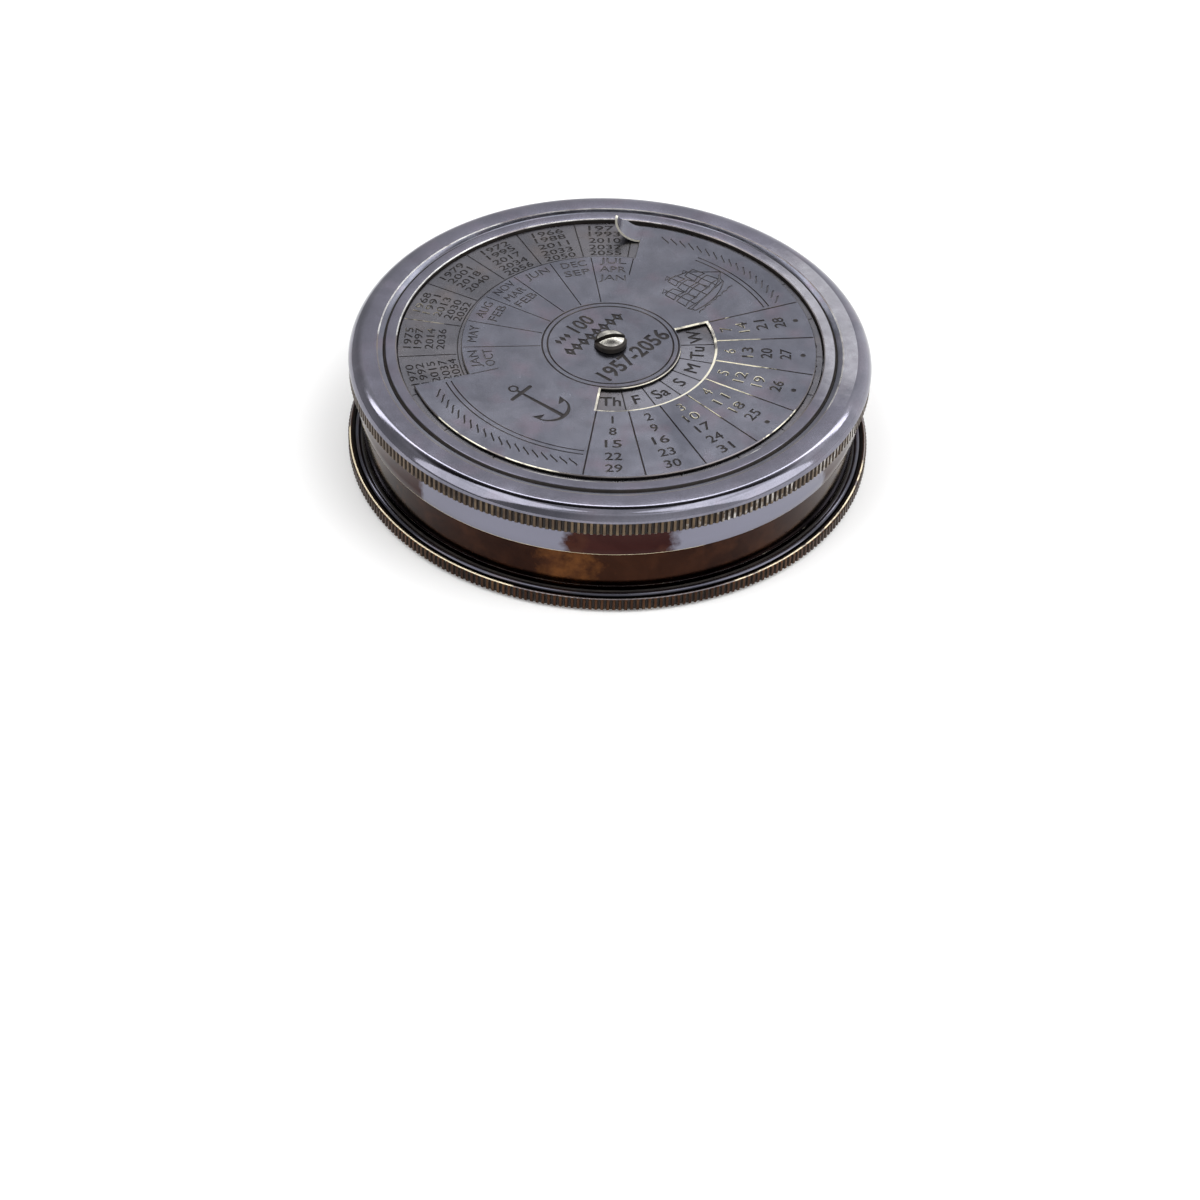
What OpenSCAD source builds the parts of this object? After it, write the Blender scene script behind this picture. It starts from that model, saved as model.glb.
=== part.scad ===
// Round brass compass with a perpetual calendar on its screw-on lid.
// The origin is on the standing plane, on the common axis, with +Z up.
// At rest the lid is screwed down on the case.

/* [Lid] */
// Widest diameter of the lid, across its rounded rim
lid_d = 77.4; // [72:0.2:90]
// Radius of the rim's rounded bulge
rim_bulge_r = 2.1; // [2:0.05:2.3]
// How far the edge of the flat top lies inside the widest diameter
rim_edge_in = 2.2; // [2:0.05:2.4]
// How far the skirt lies inside the rim's widest radius
skirt_inset = 1.2; // [1:0.1:1.5]
// Thickness of the skirt's wall at its thread
skirt_t = 2.1; // [1.7:0.1:2.8]
// Bevel on the skirt's lower outer edge
skirt_bevel = 0.25; // [0.1:0.05:0.4]
// Width of the lid's top from the recess to the widest radius
rim_w = 7.2; // [6.6:0.1:8.4]
// Thickness of the web under the recess
web_t = 1.6; // [0.9:0.1:2]
// Room between the case's top and the underside of the web
crown_room = 1.95; // [1.6:0.05:3]
// Distance from the flat top down to the upper edge of the knurl
lid_knurl_drop = 1.7; // [1.6:0.1:2.1]
// Number of knurl teeth round the lid
lid_teeth = 268; // [180:4:300]

/* [Groove in the lid] */
// How far the groove's outer edge lies inside the widest radius
groove_in = 4.45; // [4:0.05:4.9]
// Width of the groove
groove_w = 1.15; // [0.8:0.05:1.4]
// Depth of the groove
groove_depth = 0.4; // [0.2:0.05:0.6]
// Width of the steep inner side of the groove
groove_side_w = 0.25; // [0.15:0.05:0.4]

/* [Knurls] */
// Depth of a knurl tooth
tooth_depth = 0.25; // [0.15:0.05:0.3]
// How far the crests of the lid's knurl lie inside the widest radius
lid_knurl_in = 0.1; // [0.08:0.01:0.2]
// Height of the lid's knurled band
lid_knurl_h = 2.15; // [1.2:0.05:2.6]

/* [Base cap] */
// Number of knurl teeth round the base cap
cap_teeth = 288; // [200:4:320]
// How far the base cap stands out past the lid's widest radius
cap_overhang = 0.3; // [0.1:0.1:1]
// Height of the base cap's rim
cap_h = 2.4; // [2.1:0.1:3.2]
// Thickness of the base cap's floor
cap_floor_t = 1.4; // [1.2:0.1:1.8]
// Thickness of the base cap's rim, root of the knurl to its bore
cap_rim_t = 0.65; // [0.5:0.05:0.9]
// Bevel on the base cap's lower outer edge
cap_bevel = 0.5; // [0.3:0.05:0.8]
// Bevel on the base cap's inner edge, round the case's foot
cap_lip_bevel = 0.4; // [0.2:0.05:0.45]
// Depth of the shallow hollow in the base cap's underside
cap_hollow = 0.3; // [0.2:0.05:0.4]
// Width of the ring that the base cap stands on
cap_foot_w = 6; // [4:0.5:9]

/* [Case] */
// How far the case's wall lies inside the lid's skirt
wall_inset = 0.7; // [0.5:0.05:1]
// Thickness of the spigot's wall, under its thread
spigot_t = 1.35; // [1.1:0.05:1.6]
// Height of the threaded spigot above the case's shoulder
spigot_h = 3.7; // [3.4:0.1:4.6]
// Pitch of the lid's thread
thread_pitch = 0.9; // [0.75:0.05:1.2]
// Depth of the lid's thread
thread_depth = 0.45; // [0.3:0.05:0.55]
// Width of the flat on a thread ridge's crest
thread_flat = 0.18; // [0.1:0.02:0.3]
// Radius of the rounded bead round the case's foot
bead_r = 0.45; // [0.35:0.05:0.5]
// Height of the bead's crest above the base cap's rim
bead_rise = 0.1; // [0:0.05:0.3]
// Depth of the hollow between the wall and the bead
bead_hollow = 0.35; // [0.2:0.05:0.4]
// Height of the lip of the case above the retaining ring
case_lip = 0.65; // [0.4:0.05:1.2]

/* [Glass and dial] */
// Thickness of the compass card
card_t = 0.8; // [0.5:0.1:1.2]
// Height of the degree ring that carries the glass
degree_ring_h = 7; // [6.6:0.1:8.5]
// Width of the degree ring at its foot
degree_ring_foot_w = 4.2; // [3.4:0.1:5]
// Height of the upright edge at the degree ring's foot
degree_ring_edge = 0.9; // [0.6:0.1:1.4]
// Width of the degree ring at its top
degree_ring_top_w = 2.2; // [1.8:0.1:2.8]
// Thickness of the gasket under the glass
gasket_t = 0.3; // [0.2:0.05:0.5]
// Width of the gasket
gasket_w = 1.6; // [1:0.1:1.8]
// Thickness of the glass
crystal_t = 1.8; // [1.2:0.1:2]
// Thickness of the retaining ring over the glass
retainer_t = 1.2; // [0.9:0.1:1.5]
// Width of the retaining ring
retainer_w = 1.8; // [1.4:0.1:2.4]
// Width of the two spanner slots in the retaining ring
retainer_slot_w = 1.2; // [0.8:0.1:1.6]
// Depth of the two spanner slots in the retaining ring
retainer_slot_depth = 0.6; // [0.4:0.05:0.8]
// Radius at which the card's two screws stand
card_screw_at = 19; // [15:0.5:22]
// Diameter of the card screws' heads
card_screw_head_d = 2.2; // [1.8:0.1:3]
// Thickness of the card screws' heads
card_screw_head_t = 0.5; // [0.4:0.05:0.7]
// Width of the slots in the card screws' heads
card_screw_slot_w = 0.5; // [0.3:0.05:0.6]
// Depth of the slots in the card screws' heads
card_screw_slot_depth = 0.25; // [0.15:0.05:0.3]
// Diameter of the card screws' shanks
card_screw_d = 1.2; // [1:0.1:1.4]

/* [Needle and pivot] */
// Thickness of the needle
needle_t = 0.35; // [0.25:0.05:0.5]
// Width of the needle at its middle
needle_w = 6.4; // [5.6:0.2:8]
// Width of the needle's blunt tips
needle_tip_w = 0.7; // [0.4:0.1:1]
// Height of the needle's underside above the card
needle_up = 4.1; // [3.7:0.1:4.4]
// Clearance from the needle's tips to the degree ring
needle_gap = 1.6; // [1:0.1:2.5]
// Diameter of the hub's flange on the needle
hub_d = 5; // [4.6:0.1:5.4]
// Thickness of the hub's flange
hub_flange_t = 0.7; // [0.5:0.05:0.9]
// Diameter of the hub's neck through the needle
hub_neck_d = 3.6; // [3.3:0.1:3.9]
// Height of the hub above the needle
hub_h = 1.4; // [1.2:0.1:1.7]
// Diameter of the glass cup in the hub
jewel_d = 2.2; // [2:0.1:2.5]
// Height of the glass cup
jewel_h = 1.1; // [0.9:0.05:1.2]
// Width of the cup's hollow at its top
cup_top_d = 0.36; // [0.3:0.02:0.5]
// Diameter of the steel pivot
pivot_d = 1; // [0.8:0.05:1.2]
// Length of the pivot's point
pivot_cone_h = 1.6; // [1.3:0.1:2]
// Width of the blunted end of the pivot's point
pivot_point_d = 0.1; // [0.06:0.02:0.2]
// Depth to which the pivot is sunk below the card's face
pivot_sunk = 0.7; // [0.5:0.05:1]
// Width of the pivot's flange on the card
boss_d = 6.4; // [5.4:0.2:8]
// Height of the boss above the card
boss_h = 2.2; // [1.8:0.1:2.6]
// Thickness of the boss's rim on the card
boss_rim_t = 0.7; // [0.5:0.05:0.9]
// Diameter of the boss's shank through the card
boss_shank_d = 3; // [2.6:0.1:3.6]
// Length of the balance weight along the needle
weight_l = 1.6; // [1.2:0.1:2.4]
// Distance of the balance weight from the pivot
weight_at = 12; // [9:0.5:15]
// Wall of the balance weight round the needle
weight_wall = 0.5; // [0.4:0.05:0.8]

/* [Calendar] */
// Thickness of the fixed year plate
year_plate_t = 0.75; // [0.6:0.05:1]
// Thickness of the turning calendar disc
disc_t = 0.35; // [0.3:0.05:0.6]
// Running gap between the disc and the year plate
disc_gap = 0.15; // [0.15:0.05:0.4]
// How far the disc's face lies below the lid's flat top
disc_sink = 0.05; // [0.05:0.05:0.5]
// Gap from the disc's edge to the wall of the recess
disc_edge_gap = 1.1; // [0.7:0.1:1.6]
// Inner radius of the weekday window
window_in_r = 10.4; // [9.5:0.1:11]
// Outer radius of the weekday window
window_out_r = 15.4; // [14.6:0.1:16]
// Angle at which the weekday window starts
window_from_angle = -96.5; // [-100:0.5:-92]
// Radius to which the disc is cut back for the years
years_r = 22; // [21.4:0.1:23]
// Angle at which the cut for the years starts
years_from_angle = 81.5; // [76:0.5:86]

/* [Engraved lines] */
// Width of the engraved lines
line_w = 0.2; // [0.12:0.02:0.26]
// Depth of the engraved lines
line_depth = 0.1; // [0.05:0.01:0.15]
// Distance from the lines to the edges of the windows
line_gap = 0.5; // [0.3:0.1:0.8]
// Distance between the two rings round the centre
ring_gap = 0.8; // [0.5:0.1:1.2]
// Distance from the weekday window to the outer of the two rings
ring_inset = 0.3; // [0.25:0.05:0.4]
// Number of columns round the year plate
plate_columns = 21; // [14, 21, 28]
// Angle of the first line between the years
year_lines_angle = 15.9; // [12:0.1:18]
// Angle of the first line between the weekdays
day_lines_angle = 5.5; // [2:0.1:10]

/* [Finger tab] */
// Width of the finger tab
tab_w = 3.6; // [3:0.1:5]
// Radius of the finger tab's curl, on its inside
tab_curl_r = 3.2; // [2.4:0.1:3.8]
// Angle through which the finger tab curls
tab_curl = 112; // [80:2:120]
// Length of the tab's flat root in the disc
tab_root = 2; // [1:0.5:3]
// Distance from the disc's edge to the finger tab
tab_edge = 0.2; // [0.1:0.05:0.5]

/* [Centre screw] */
// Diameter of the screw's head
head_d = 4.8; // [4.4:0.1:5.6]
// Height of the straight side of the head
head_side = 0.85; // [0.8:0.05:1.5]
// Rise of the head's dome
head_dome = 0.75; // [0.5:0.05:1]
// Width of the screwdriver slot
slot_w = 0.9; // [0.6:0.05:1]
// Depth of the screwdriver slot below the dome's top
slot_depth = 1.1; // [0.8:0.05:1.3]
// Angle of the screwdriver slot
slot_angle = 18; // [0:1:90]
// Diameter of the shoulder that the disc turns on
shoulder_d = 3.2; // [2.8:0.1:3.6]
// Diameter of the screw's shank
shank_d = 2.5; // [2:0.1:2.6]
// Length of shank that shows below the nut
shank_end = 0.3; // [0.1:0.05:0.4]
// Width of the nut across its flats
nut_w = 5; // [4.6:0.1:5.6]
// Thickness of the nut
nut_t = 1.6; // [1.2:0.1:1.7]
// Diameter of the washers
washer_d = 5.6; // [5:0.1:7]
// Thickness of the washer under the lid's web
lock_washer_t = 0.4; // [0.3:0.05:0.5]
// Radius at which the year plate's pins stand
plate_pin_at = 19; // [18:0.5:21]
// Diameter of the year plate's pins
plate_pin_d = 1.5; // [1:0.1:2]

/* [Clearances] */
// Radial clearance of the lid's thread
thread_clear = 0.1; // [0.05:0.01:0.15]
// Radial clearance of pieces that are dropped into a bore
seat_clear = 0.1; // [0.05:0.01:0.2]
// Radial clearance of a shaft that turns in a hole
turn_clear = 0.05; // [0.02:0.01:0.08]
// End play of pieces that turn
end_play = 0.05; // [0.02:0.01:0.08]

/* [Hidden] */
$fn = 96;

// Small overlap that makes cuts run through a face
cut = 0.2;
// Overlap of a knurl with the body that carries it
knurl_bite = 0.1;

// Columns of the calendar, and how far round the two windows open
week_days = 7;
column_step = 360 / plate_columns;
window_angle = week_days * column_step;
window_to_angle = window_from_angle + window_angle;
years_to_angle = years_from_angle + window_angle;

// Radii, from the outside in
lid_r = lid_d / 2;
skirt_r = lid_r - skirt_inset;
lid_knurl_r = lid_r - lid_knurl_in;
groove_r = lid_r - groove_in;
lid_bore_r = skirt_r - skirt_t;
spigot_r = lid_bore_r - thread_clear;
spigot_root_r = spigot_r - thread_depth;
case_bore_r = spigot_root_r - spigot_t;
wall_r = skirt_r - wall_inset;
cap_r = lid_r + cap_overhang;
cap_root_r = cap_r - tooth_depth;
cap_bore_r = cap_root_r - cap_rim_t;
foot_r = cap_bore_r - seat_clear;
recess_r = lid_r - rim_w;
year_plate_r = recess_r - seat_clear;
disc_r = recess_r - disc_edge_gap;
ring_r = window_in_r - ring_inset;
crown_r = spigot_root_r - spigot_t - retainer_w;
insert_r = case_bore_r - seat_clear;
degree_ring_foot_r = insert_r - degree_ring_foot_w;
degree_ring_top_r = insert_r - degree_ring_top_w;
needle_r = degree_ring_foot_r - needle_gap;

// Heights of the case and of what is stacked in it, from the standing plane up
card_z = cap_floor_t;
card_top = card_z + card_t;
gasket_z = card_top + degree_ring_h;
crystal_z = gasket_z + gasket_t;
retainer_z = crystal_z + crystal_t;
case_top = retainer_z + retainer_t + case_lip;
shoulder_z = case_top - spigot_h;

// Heights of the lid and of the calendar in its recess
web_z = case_top + crown_room;
recess_z = web_z + web_t;
year_plate_top = recess_z + year_plate_t;
disc_z = year_plate_top + disc_gap;
disc_top = disc_z + disc_t;
lid_top = disc_top + disc_sink;
lid_knurl_top = lid_top - lid_knurl_drop;
lid_knurl_z = lid_knurl_top - lid_knurl_h;

// Heights of the needle and its pivot
needle_z = card_top + needle_up;
hub_top = needle_z + needle_t + hub_h;
hub_roof_t = 0.5;
jewel_top = hub_top - hub_roof_t;
jewel_roof_t = 0.4;
pivot_tip = jewel_top - jewel_roof_t - end_play;
pivot_foot_z = card_top - pivot_sunk;
blind_floor_t = 0.4;
screw_foot_z = cap_hollow + blind_floor_t;

// Heights of the centre screw
head_z = disc_top + end_play;
dome_top = head_z + head_side + head_dome;
lock_washer_z = web_z - end_play - lock_washer_t;
nut_z = lock_washer_z - nut_t;
shank_z = nut_z - shank_end;

// Colours as in the photograph
dark_brass = [0.29, 0.29, 0.33];
worn_brass = [0.45, 0.37, 0.24];
bright_steel = [0.78, 0.78, 0.76];
pale_card = [0.86, 0.83, 0.72];
blue_steel = [0.16, 0.2, 0.34];
clear_glass = [0.75, 0.85, 0.88, 0.4];

// A sector of a flat ring, from one angle to another and from one height up
module ring_sector(in_r, out_r, from, to, z, h) {
    translate([0, 0, z]) rotate([0, 0, from])
        rotate_extrude(angle = to - from) translate([in_r, 0]) square([out_r - in_r, h]);
}

// A flat ring
module washer(out_r, in_r, z, h) {
    translate([0, 0, z]) difference() {
        cylinder(r = out_r, h = h);
        translate([0, 0, -cut]) cylinder(r = in_r, h = h + 2 * cut);
    }
}

// Cutters for engraved radial lines in a face at the height top
module radial_lines(in_r, out_r, from, step, count, top) {
    for (i = [0 : count - 1])
        rotate([0, 0, from + i * step]) translate([in_r, -line_w / 2, top - line_depth])
            cube([out_r - in_r, line_w, 2 * line_depth]);
}

// Cutter for an engraved ring, whose middle lies on radius r
module ring_line(r, top) {
    washer(r + line_w / 2, r - line_w / 2, top - line_depth, 2 * line_depth);
}

// A straight-knurled disc, whose crests lie on radius r
module knurl(r, teeth, z, h) {
    half_tooth = 180 / teeth;
    translate([0, 0, z]) linear_extrude(height = h) polygon([
        for (i = [0 : 2 * teeth - 1])
            let (tooth_r = i % 2 == 0 ? r : r - tooth_depth)
            tooth_r * [cos(i * half_tooth), sin(i * half_tooth)]
    ]);
}

// Half of the rounded rim in section, from the flat top's edge down to the knurl
module rim_bulge_section() {
    centre_r = lid_r - rim_bulge_r;
    edge_r = lid_r - rim_edge_in;
    rise = sqrt(pow(rim_bulge_r, 2) - pow(edge_r - centre_r, 2));
    intersection() {
        translate([centre_r, lid_top - rise]) circle(r = rim_bulge_r);
        translate([edge_r, lid_knurl_top]) square([rim_edge_in, lid_knurl_drop]);
    }
}

// Outline of the lid in section, without its knurl
module lid_section() {
    difference() {
        union() {
            rim_bulge_section();
            polygon([
                [0, web_z],
                [0, recess_z],
                [recess_r, recess_z],
                [recess_r, lid_top],
                [lid_r - rim_edge_in, lid_top],
                [lid_r - rim_edge_in, lid_knurl_top],
                [skirt_r, lid_knurl_top],
                [skirt_r, shoulder_z + skirt_bevel],
                [skirt_r - skirt_bevel, shoulder_z],
                [lid_bore_r, shoulder_z],
                [lid_bore_r, case_top + seat_clear],
                [crown_r, case_top + seat_clear],
                [crown_r, web_z]
            ]);
        }
        polygon([
            [groove_r, lid_top],
            [groove_r, lid_top + cut],
            [groove_r - groove_w, lid_top + cut],
            [groove_r - groove_w, lid_top],
            [groove_r - groove_w + groove_side_w, lid_top - groove_depth]
        ]);
    }
}

module lid_shell() {
    color(dark_brass) difference() {
        union() {
            rotate_extrude() lid_section();
            difference() {
                knurl(lid_knurl_r, lid_teeth, lid_knurl_z, lid_knurl_h + knurl_bite);
                translate([0, 0, lid_knurl_z - cut])
                    cylinder(r = skirt_r - skirt_t / 2, h = lid_knurl_h + 2 * cut);
            }
        }
        translate([0, 0, web_z - cut])
            cylinder(d = shank_d + 2 * turn_clear, h = web_t + 2 * cut);
        plate_pin_places() translate([0, 0, recess_z - web_t / 2])
            cylinder(d = plate_pin_d, h = web_t);
    }
}

// The two places of the pins that hold the year plate
module plate_pin_places() {
    for (side = [0, 180]) rotate([0, 0, side]) translate([plate_pin_at, 0, 0]) children();
}

module year_plate() {
    color(dark_brass) difference() {
        translate([0, 0, recess_z]) cylinder(r = year_plate_r, h = year_plate_t);
        translate([0, 0, recess_z - cut])
            cylinder(d = shank_d + 2 * turn_clear, h = year_plate_t + 2 * cut);
        plate_pin_places() translate([0, 0, recess_z - cut])
            cylinder(d = plate_pin_d, h = year_plate_t + 2 * cut);
        radial_lines(years_r - line_gap, lid_r, year_lines_angle, column_step,
            plate_columns, year_plate_top);
        radial_lines(window_in_r - line_gap, window_out_r + line_gap, day_lines_angle,
            column_step, plate_columns, year_plate_top);
    }
}

module plate_pins() {
    color(worn_brass) plate_pin_places() translate([0, 0, recess_z - web_t / 2])
        cylinder(d = plate_pin_d, h = web_t / 2 + year_plate_t);
}

// Section of the finger tab: its root in the disc and its curl, which runs to the left
module tab_section() {
    reach = 2 * (tab_curl_r + disc_t);
    tip_angle = -90 - tab_curl;
    translate([0, disc_z]) square([tab_root, disc_t]);
    translate([0, disc_top + tab_curl_r]) intersection() {
        difference() {
            circle(r = tab_curl_r + disc_t);
            circle(r = tab_curl_r);
        }
        polygon([
            [0, 0],
            reach * [cos(tip_angle), sin(tip_angle)],
            [-reach, -reach],
            [0, -reach]
        ]);
    }
}

// Tongue of the disc, cut loose at the year window's end and curled up and back
module finger_tab() {
    tab_mid_r = disc_r - tab_edge - tab_w / 2;
    curl_mid_r = tab_curl_r + disc_t / 2;
    rotate([0, 0, years_from_angle]) difference() {
        translate([tab_mid_r + tab_w / 2, 0, 0]) rotate([90, 0, -90])
            linear_extrude(height = tab_w) tab_section();
        translate([tab_mid_r, 0, disc_top + tab_curl_r]) tab_tip_cut(tab_w / 2, curl_mid_r);
    }
}

// What is taken off the curled tongue's end, so that its corners are round
module tab_tip_cut(tip_r, curl_mid_r) {
    back_off = asin(tip_r / (2 * curl_mid_r)) * 2;
    rotate([tab_curl - back_off, 0, 0]) translate([0, 0, -curl_mid_r]) difference() {
        translate([-tab_w, 0, -tab_w]) cube([2 * tab_w, 3 * tab_w, 2 * tab_w]);
        translate([0, 0, -tab_w - cut]) cylinder(r = tip_r, h = 2 * tab_w + 2 * cut);
    }
}

module calendar_disc() {
    color(dark_brass) {
        difference() {
            translate([0, 0, disc_z]) cylinder(r = disc_r, h = disc_t);
            translate([0, 0, disc_z - cut])
                cylinder(d = shoulder_d + 2 * turn_clear, h = disc_t + 2 * cut);
            ring_sector(window_in_r, window_out_r, window_from_angle, window_to_angle,
                disc_z - cut, disc_t + 2 * cut);
            ring_sector(years_r, disc_r + cut, years_from_angle, years_to_angle,
                disc_z - cut, disc_t + 2 * cut);
            ring_line(ring_r, disc_top);
            ring_line(ring_r - ring_gap, disc_top);
            radial_lines(window_out_r + line_gap, lid_r, window_from_angle, column_step,
                week_days + 1, disc_top);
            radial_lines(ring_r + line_w, years_r - line_gap, years_from_angle, column_step,
                week_days + 1, disc_top);
        }
        finger_tab();
    }
}

module spacer_washer() {
    color(worn_brass) washer(washer_d / 2, shoulder_d / 2 + turn_clear,
        year_plate_top, disc_gap - end_play);
}

module pivot_screw() {
    head_r = head_d / 2;
    dome_r = (head_r * head_r + head_dome * head_dome) / (2 * head_dome);
    color(bright_steel) difference() {
        union() {
            intersection() {
                translate([0, 0, head_z]) cylinder(r = head_r, h = head_side + head_dome);
                translate([0, 0, dome_top - dome_r]) sphere(r = dome_r);
            }
            translate([0, 0, year_plate_top + end_play])
                cylinder(d = shoulder_d, h = head_z - year_plate_top);
            translate([0, 0, shank_z]) cylinder(d = shank_d, h = head_z - shank_z);
        }
        translate([0, 0, dome_top - slot_depth]) rotate([0, 0, slot_angle])
            translate([-head_d, -slot_w / 2, 0]) cube([2 * head_d, slot_w, head_d]);
    }
}

module lock_washer() {
    color(bright_steel) washer(washer_d / 2, shank_d / 2 + turn_clear,
        lock_washer_z, lock_washer_t);
}

module pivot_nut() {
    color(worn_brass) translate([0, 0, nut_z]) difference() {
        cylinder(d = nut_w / cos(30), h = nut_t, $fn = 6);
        translate([0, 0, -cut]) cylinder(d = shank_d + 2 * turn_clear, h = nut_t + 2 * cut);
    }
}

// Ridges of the lid's thread on the spigot, as rings
module thread_ridges() {
    ridge_count = floor((spigot_h - thread_pitch) / thread_pitch);
    for (i = [0 : ridge_count - 1])
        translate([spigot_root_r, shoulder_z + (i + 1) * thread_pitch]) polygon([
            [-cut, -thread_pitch / 2],
            [0, -thread_pitch / 2],
            [thread_depth, -thread_flat / 2],
            [thread_depth, thread_flat / 2],
            [0, thread_pitch / 2],
            [-cut, thread_pitch / 2]
        ]);
}

module case_ring() {
    bead_top = cap_h + bead_rise;
    bead_z = bead_top - bead_r;
    bead_mid_r = foot_r - bead_r;
    color(dark_brass) rotate_extrude() {
        polygon([
            [case_bore_r, cap_floor_t],
            [foot_r, cap_floor_t],
            [foot_r, bead_z],
            [bead_mid_r, bead_z],
            [wall_r, bead_top - bead_hollow],
            [wall_r, shoulder_z],
            [spigot_root_r, shoulder_z],
            [spigot_root_r, case_top],
            [case_bore_r, case_top]
        ]);
        translate([bead_mid_r, bead_z]) circle(r = bead_r);
        thread_ridges();
    }
}

// The two places of the screws that hold the card, with their shanks' foot at the height z
module card_screw_places(z) {
    for (side = [0, 180])
        rotate([0, 0, side]) translate([card_screw_at, 0, z]) children();
}

module base_cap() {
    color(dark_brass) difference() {
        union() {
            rotate_extrude() polygon([
                [0, 0],
                [cap_root_r - cap_bevel - knurl_bite, 0],
                [cap_root_r - knurl_bite, cap_bevel],
                [cap_root_r - knurl_bite, cap_h],
                [0, cap_h]
            ]);
            knurl(cap_r, cap_teeth, cap_bevel, cap_h - cap_bevel);
        }
        translate([0, 0, cap_floor_t]) cylinder(r = cap_bore_r, h = cap_h);
        translate([0, 0, cap_h - cap_lip_bevel]) cylinder(
            r1 = cap_bore_r, r2 = cap_bore_r + 2 * cap_lip_bevel, h = 2 * cap_lip_bevel);
        translate([0, 0, -cut]) cylinder(r = cap_r - cap_foot_w, h = cap_hollow + cut);
        translate([0, 0, screw_foot_z])
            cylinder(d = boss_shank_d, h = cap_floor_t);
        card_screw_places(screw_foot_z)
            cylinder(d = card_screw_d, h = cap_floor_t);
    }
}

module compass_card() {
    color(pale_card) difference() {
        translate([0, 0, card_z]) cylinder(r = insert_r, h = card_t);
        translate([0, 0, card_z - cut])
            cylinder(d = boss_shank_d + 2 * turn_clear, h = card_t + 2 * cut);
        card_screw_places(card_z - cut)
            cylinder(d = card_screw_d + 2 * turn_clear, h = card_t + 2 * cut);
    }
}

module card_screws() {
    shank_h = card_top - screw_foot_z;
    color(worn_brass) card_screw_places(0) difference() {
        union() {
            translate([0, 0, card_top])
                cylinder(d = card_screw_head_d, h = card_screw_head_t);
            translate([0, 0, screw_foot_z])
                cylinder(d = card_screw_d, h = shank_h + card_screw_head_t / 2);
        }
        translate([-card_screw_head_d, -card_screw_slot_w / 2,
            card_top + card_screw_head_t - card_screw_slot_depth])
            cube([2 * card_screw_head_d, card_screw_slot_w, card_screw_head_t]);
    }
}

module pivot_boss() {
    color(worn_brass) difference() {
        union() {
            translate([0, 0, screw_foot_z])
                cylinder(d = boss_shank_d, h = card_top - screw_foot_z + boss_rim_t / 2);
            translate([0, 0, card_top]) cylinder(d = boss_d, h = boss_rim_t);
            translate([0, 0, card_top]) cylinder(d1 = boss_d, d2 = boss_shank_d, h = boss_h);
        }
        translate([0, 0, pivot_foot_z]) cylinder(d = pivot_d, h = 2 * boss_h);
    }
}

module pivot_pin() {
    cone_z = pivot_tip - pivot_cone_h;
    color(bright_steel) union() {
        translate([0, 0, pivot_foot_z]) cylinder(d = pivot_d, h = cone_z - pivot_foot_z);
        translate([0, 0, cone_z]) cylinder(d1 = pivot_d, d2 = pivot_point_d, h = pivot_cone_h);
    }
}

module needle_blade() {
    color(blue_steel) difference() {
        translate([0, 0, needle_z]) linear_extrude(height = needle_t) polygon([
            [needle_w / 2, 0],
            [needle_tip_w / 2, needle_r],
            [-needle_tip_w / 2, needle_r],
            [-needle_w / 2, 0],
            [-needle_tip_w / 2, -needle_r],
            [needle_tip_w / 2, -needle_r]
        ]);
        translate([0, 0, needle_z - cut])
            cylinder(d = hub_neck_d + 2 * turn_clear, h = needle_t + 2 * cut);
    }
}

module needle_hub() {
    neck_z = needle_z - needle_t;
    color(worn_brass) difference() {
        union() {
            translate([0, 0, neck_z]) cylinder(d = hub_neck_d, h = hub_top - neck_z);
            translate([0, 0, needle_z + needle_t]) cylinder(d = hub_d, h = hub_flange_t);
        }
        translate([0, 0, neck_z - cut]) cylinder(d = jewel_d, h = jewel_top - neck_z + cut);
    }
}

module hub_jewel() {
    cup_h = jewel_h - jewel_roof_t;
    color(clear_glass) difference() {
        translate([0, 0, jewel_top - jewel_h]) cylinder(d = jewel_d, h = jewel_h);
        translate([0, 0, jewel_top - jewel_h - cut]) cylinder(
            d1 = jewel_d - 2 * seat_clear, d2 = cup_top_d, h = cup_h + cut);
    }
}

// Collar on the south arm of the needle, slipped on from the tip
module needle_weight() {
    arm_w = needle_tip_w
        + (needle_w - needle_tip_w) * (needle_r - weight_at + weight_l / 2) / needle_r;
    slot = arm_w + 2 * turn_clear;
    color(worn_brass) translate([0, -weight_at, needle_z + needle_t / 2]) difference() {
        cube([slot + 2 * weight_wall, weight_l, needle_t + 2 * weight_wall], center = true);
        cube([slot, weight_l + cut, needle_t + turn_clear], center = true);
    }
}

module degree_ring() {
    color(worn_brass) rotate_extrude() polygon([
        [insert_r, card_top],
        [insert_r, gasket_z],
        [degree_ring_top_r, gasket_z],
        [degree_ring_foot_r, card_top + degree_ring_edge],
        [degree_ring_foot_r, card_top]
    ]);
}

module crystal_gasket() {
    color([0.12, 0.12, 0.12]) washer(insert_r, insert_r - gasket_w, gasket_z, gasket_t);
}

module crystal() {
    color(clear_glass) translate([0, 0, crystal_z]) cylinder(r = insert_r, h = crystal_t);
}

module retaining_ring() {
    color(worn_brass) difference() {
        washer(insert_r, insert_r - retainer_w, retainer_z, retainer_t);
        translate([-lid_r, -retainer_slot_w / 2, retainer_z + retainer_t - retainer_slot_depth])
            cube([2 * lid_r, retainer_slot_w, retainer_t]);
    }
}

lid_shell();
year_plate();
plate_pins();
calendar_disc();
spacer_washer();
pivot_screw();
lock_washer();
pivot_nut();
case_ring();
base_cap();
compass_card();
card_screws();
pivot_boss();
pivot_pin();
needle_blade();
needle_hub();
hub_jewel();
needle_weight();
degree_ring();
crystal_gasket();
crystal();
retaining_ring();
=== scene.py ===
import math

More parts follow.
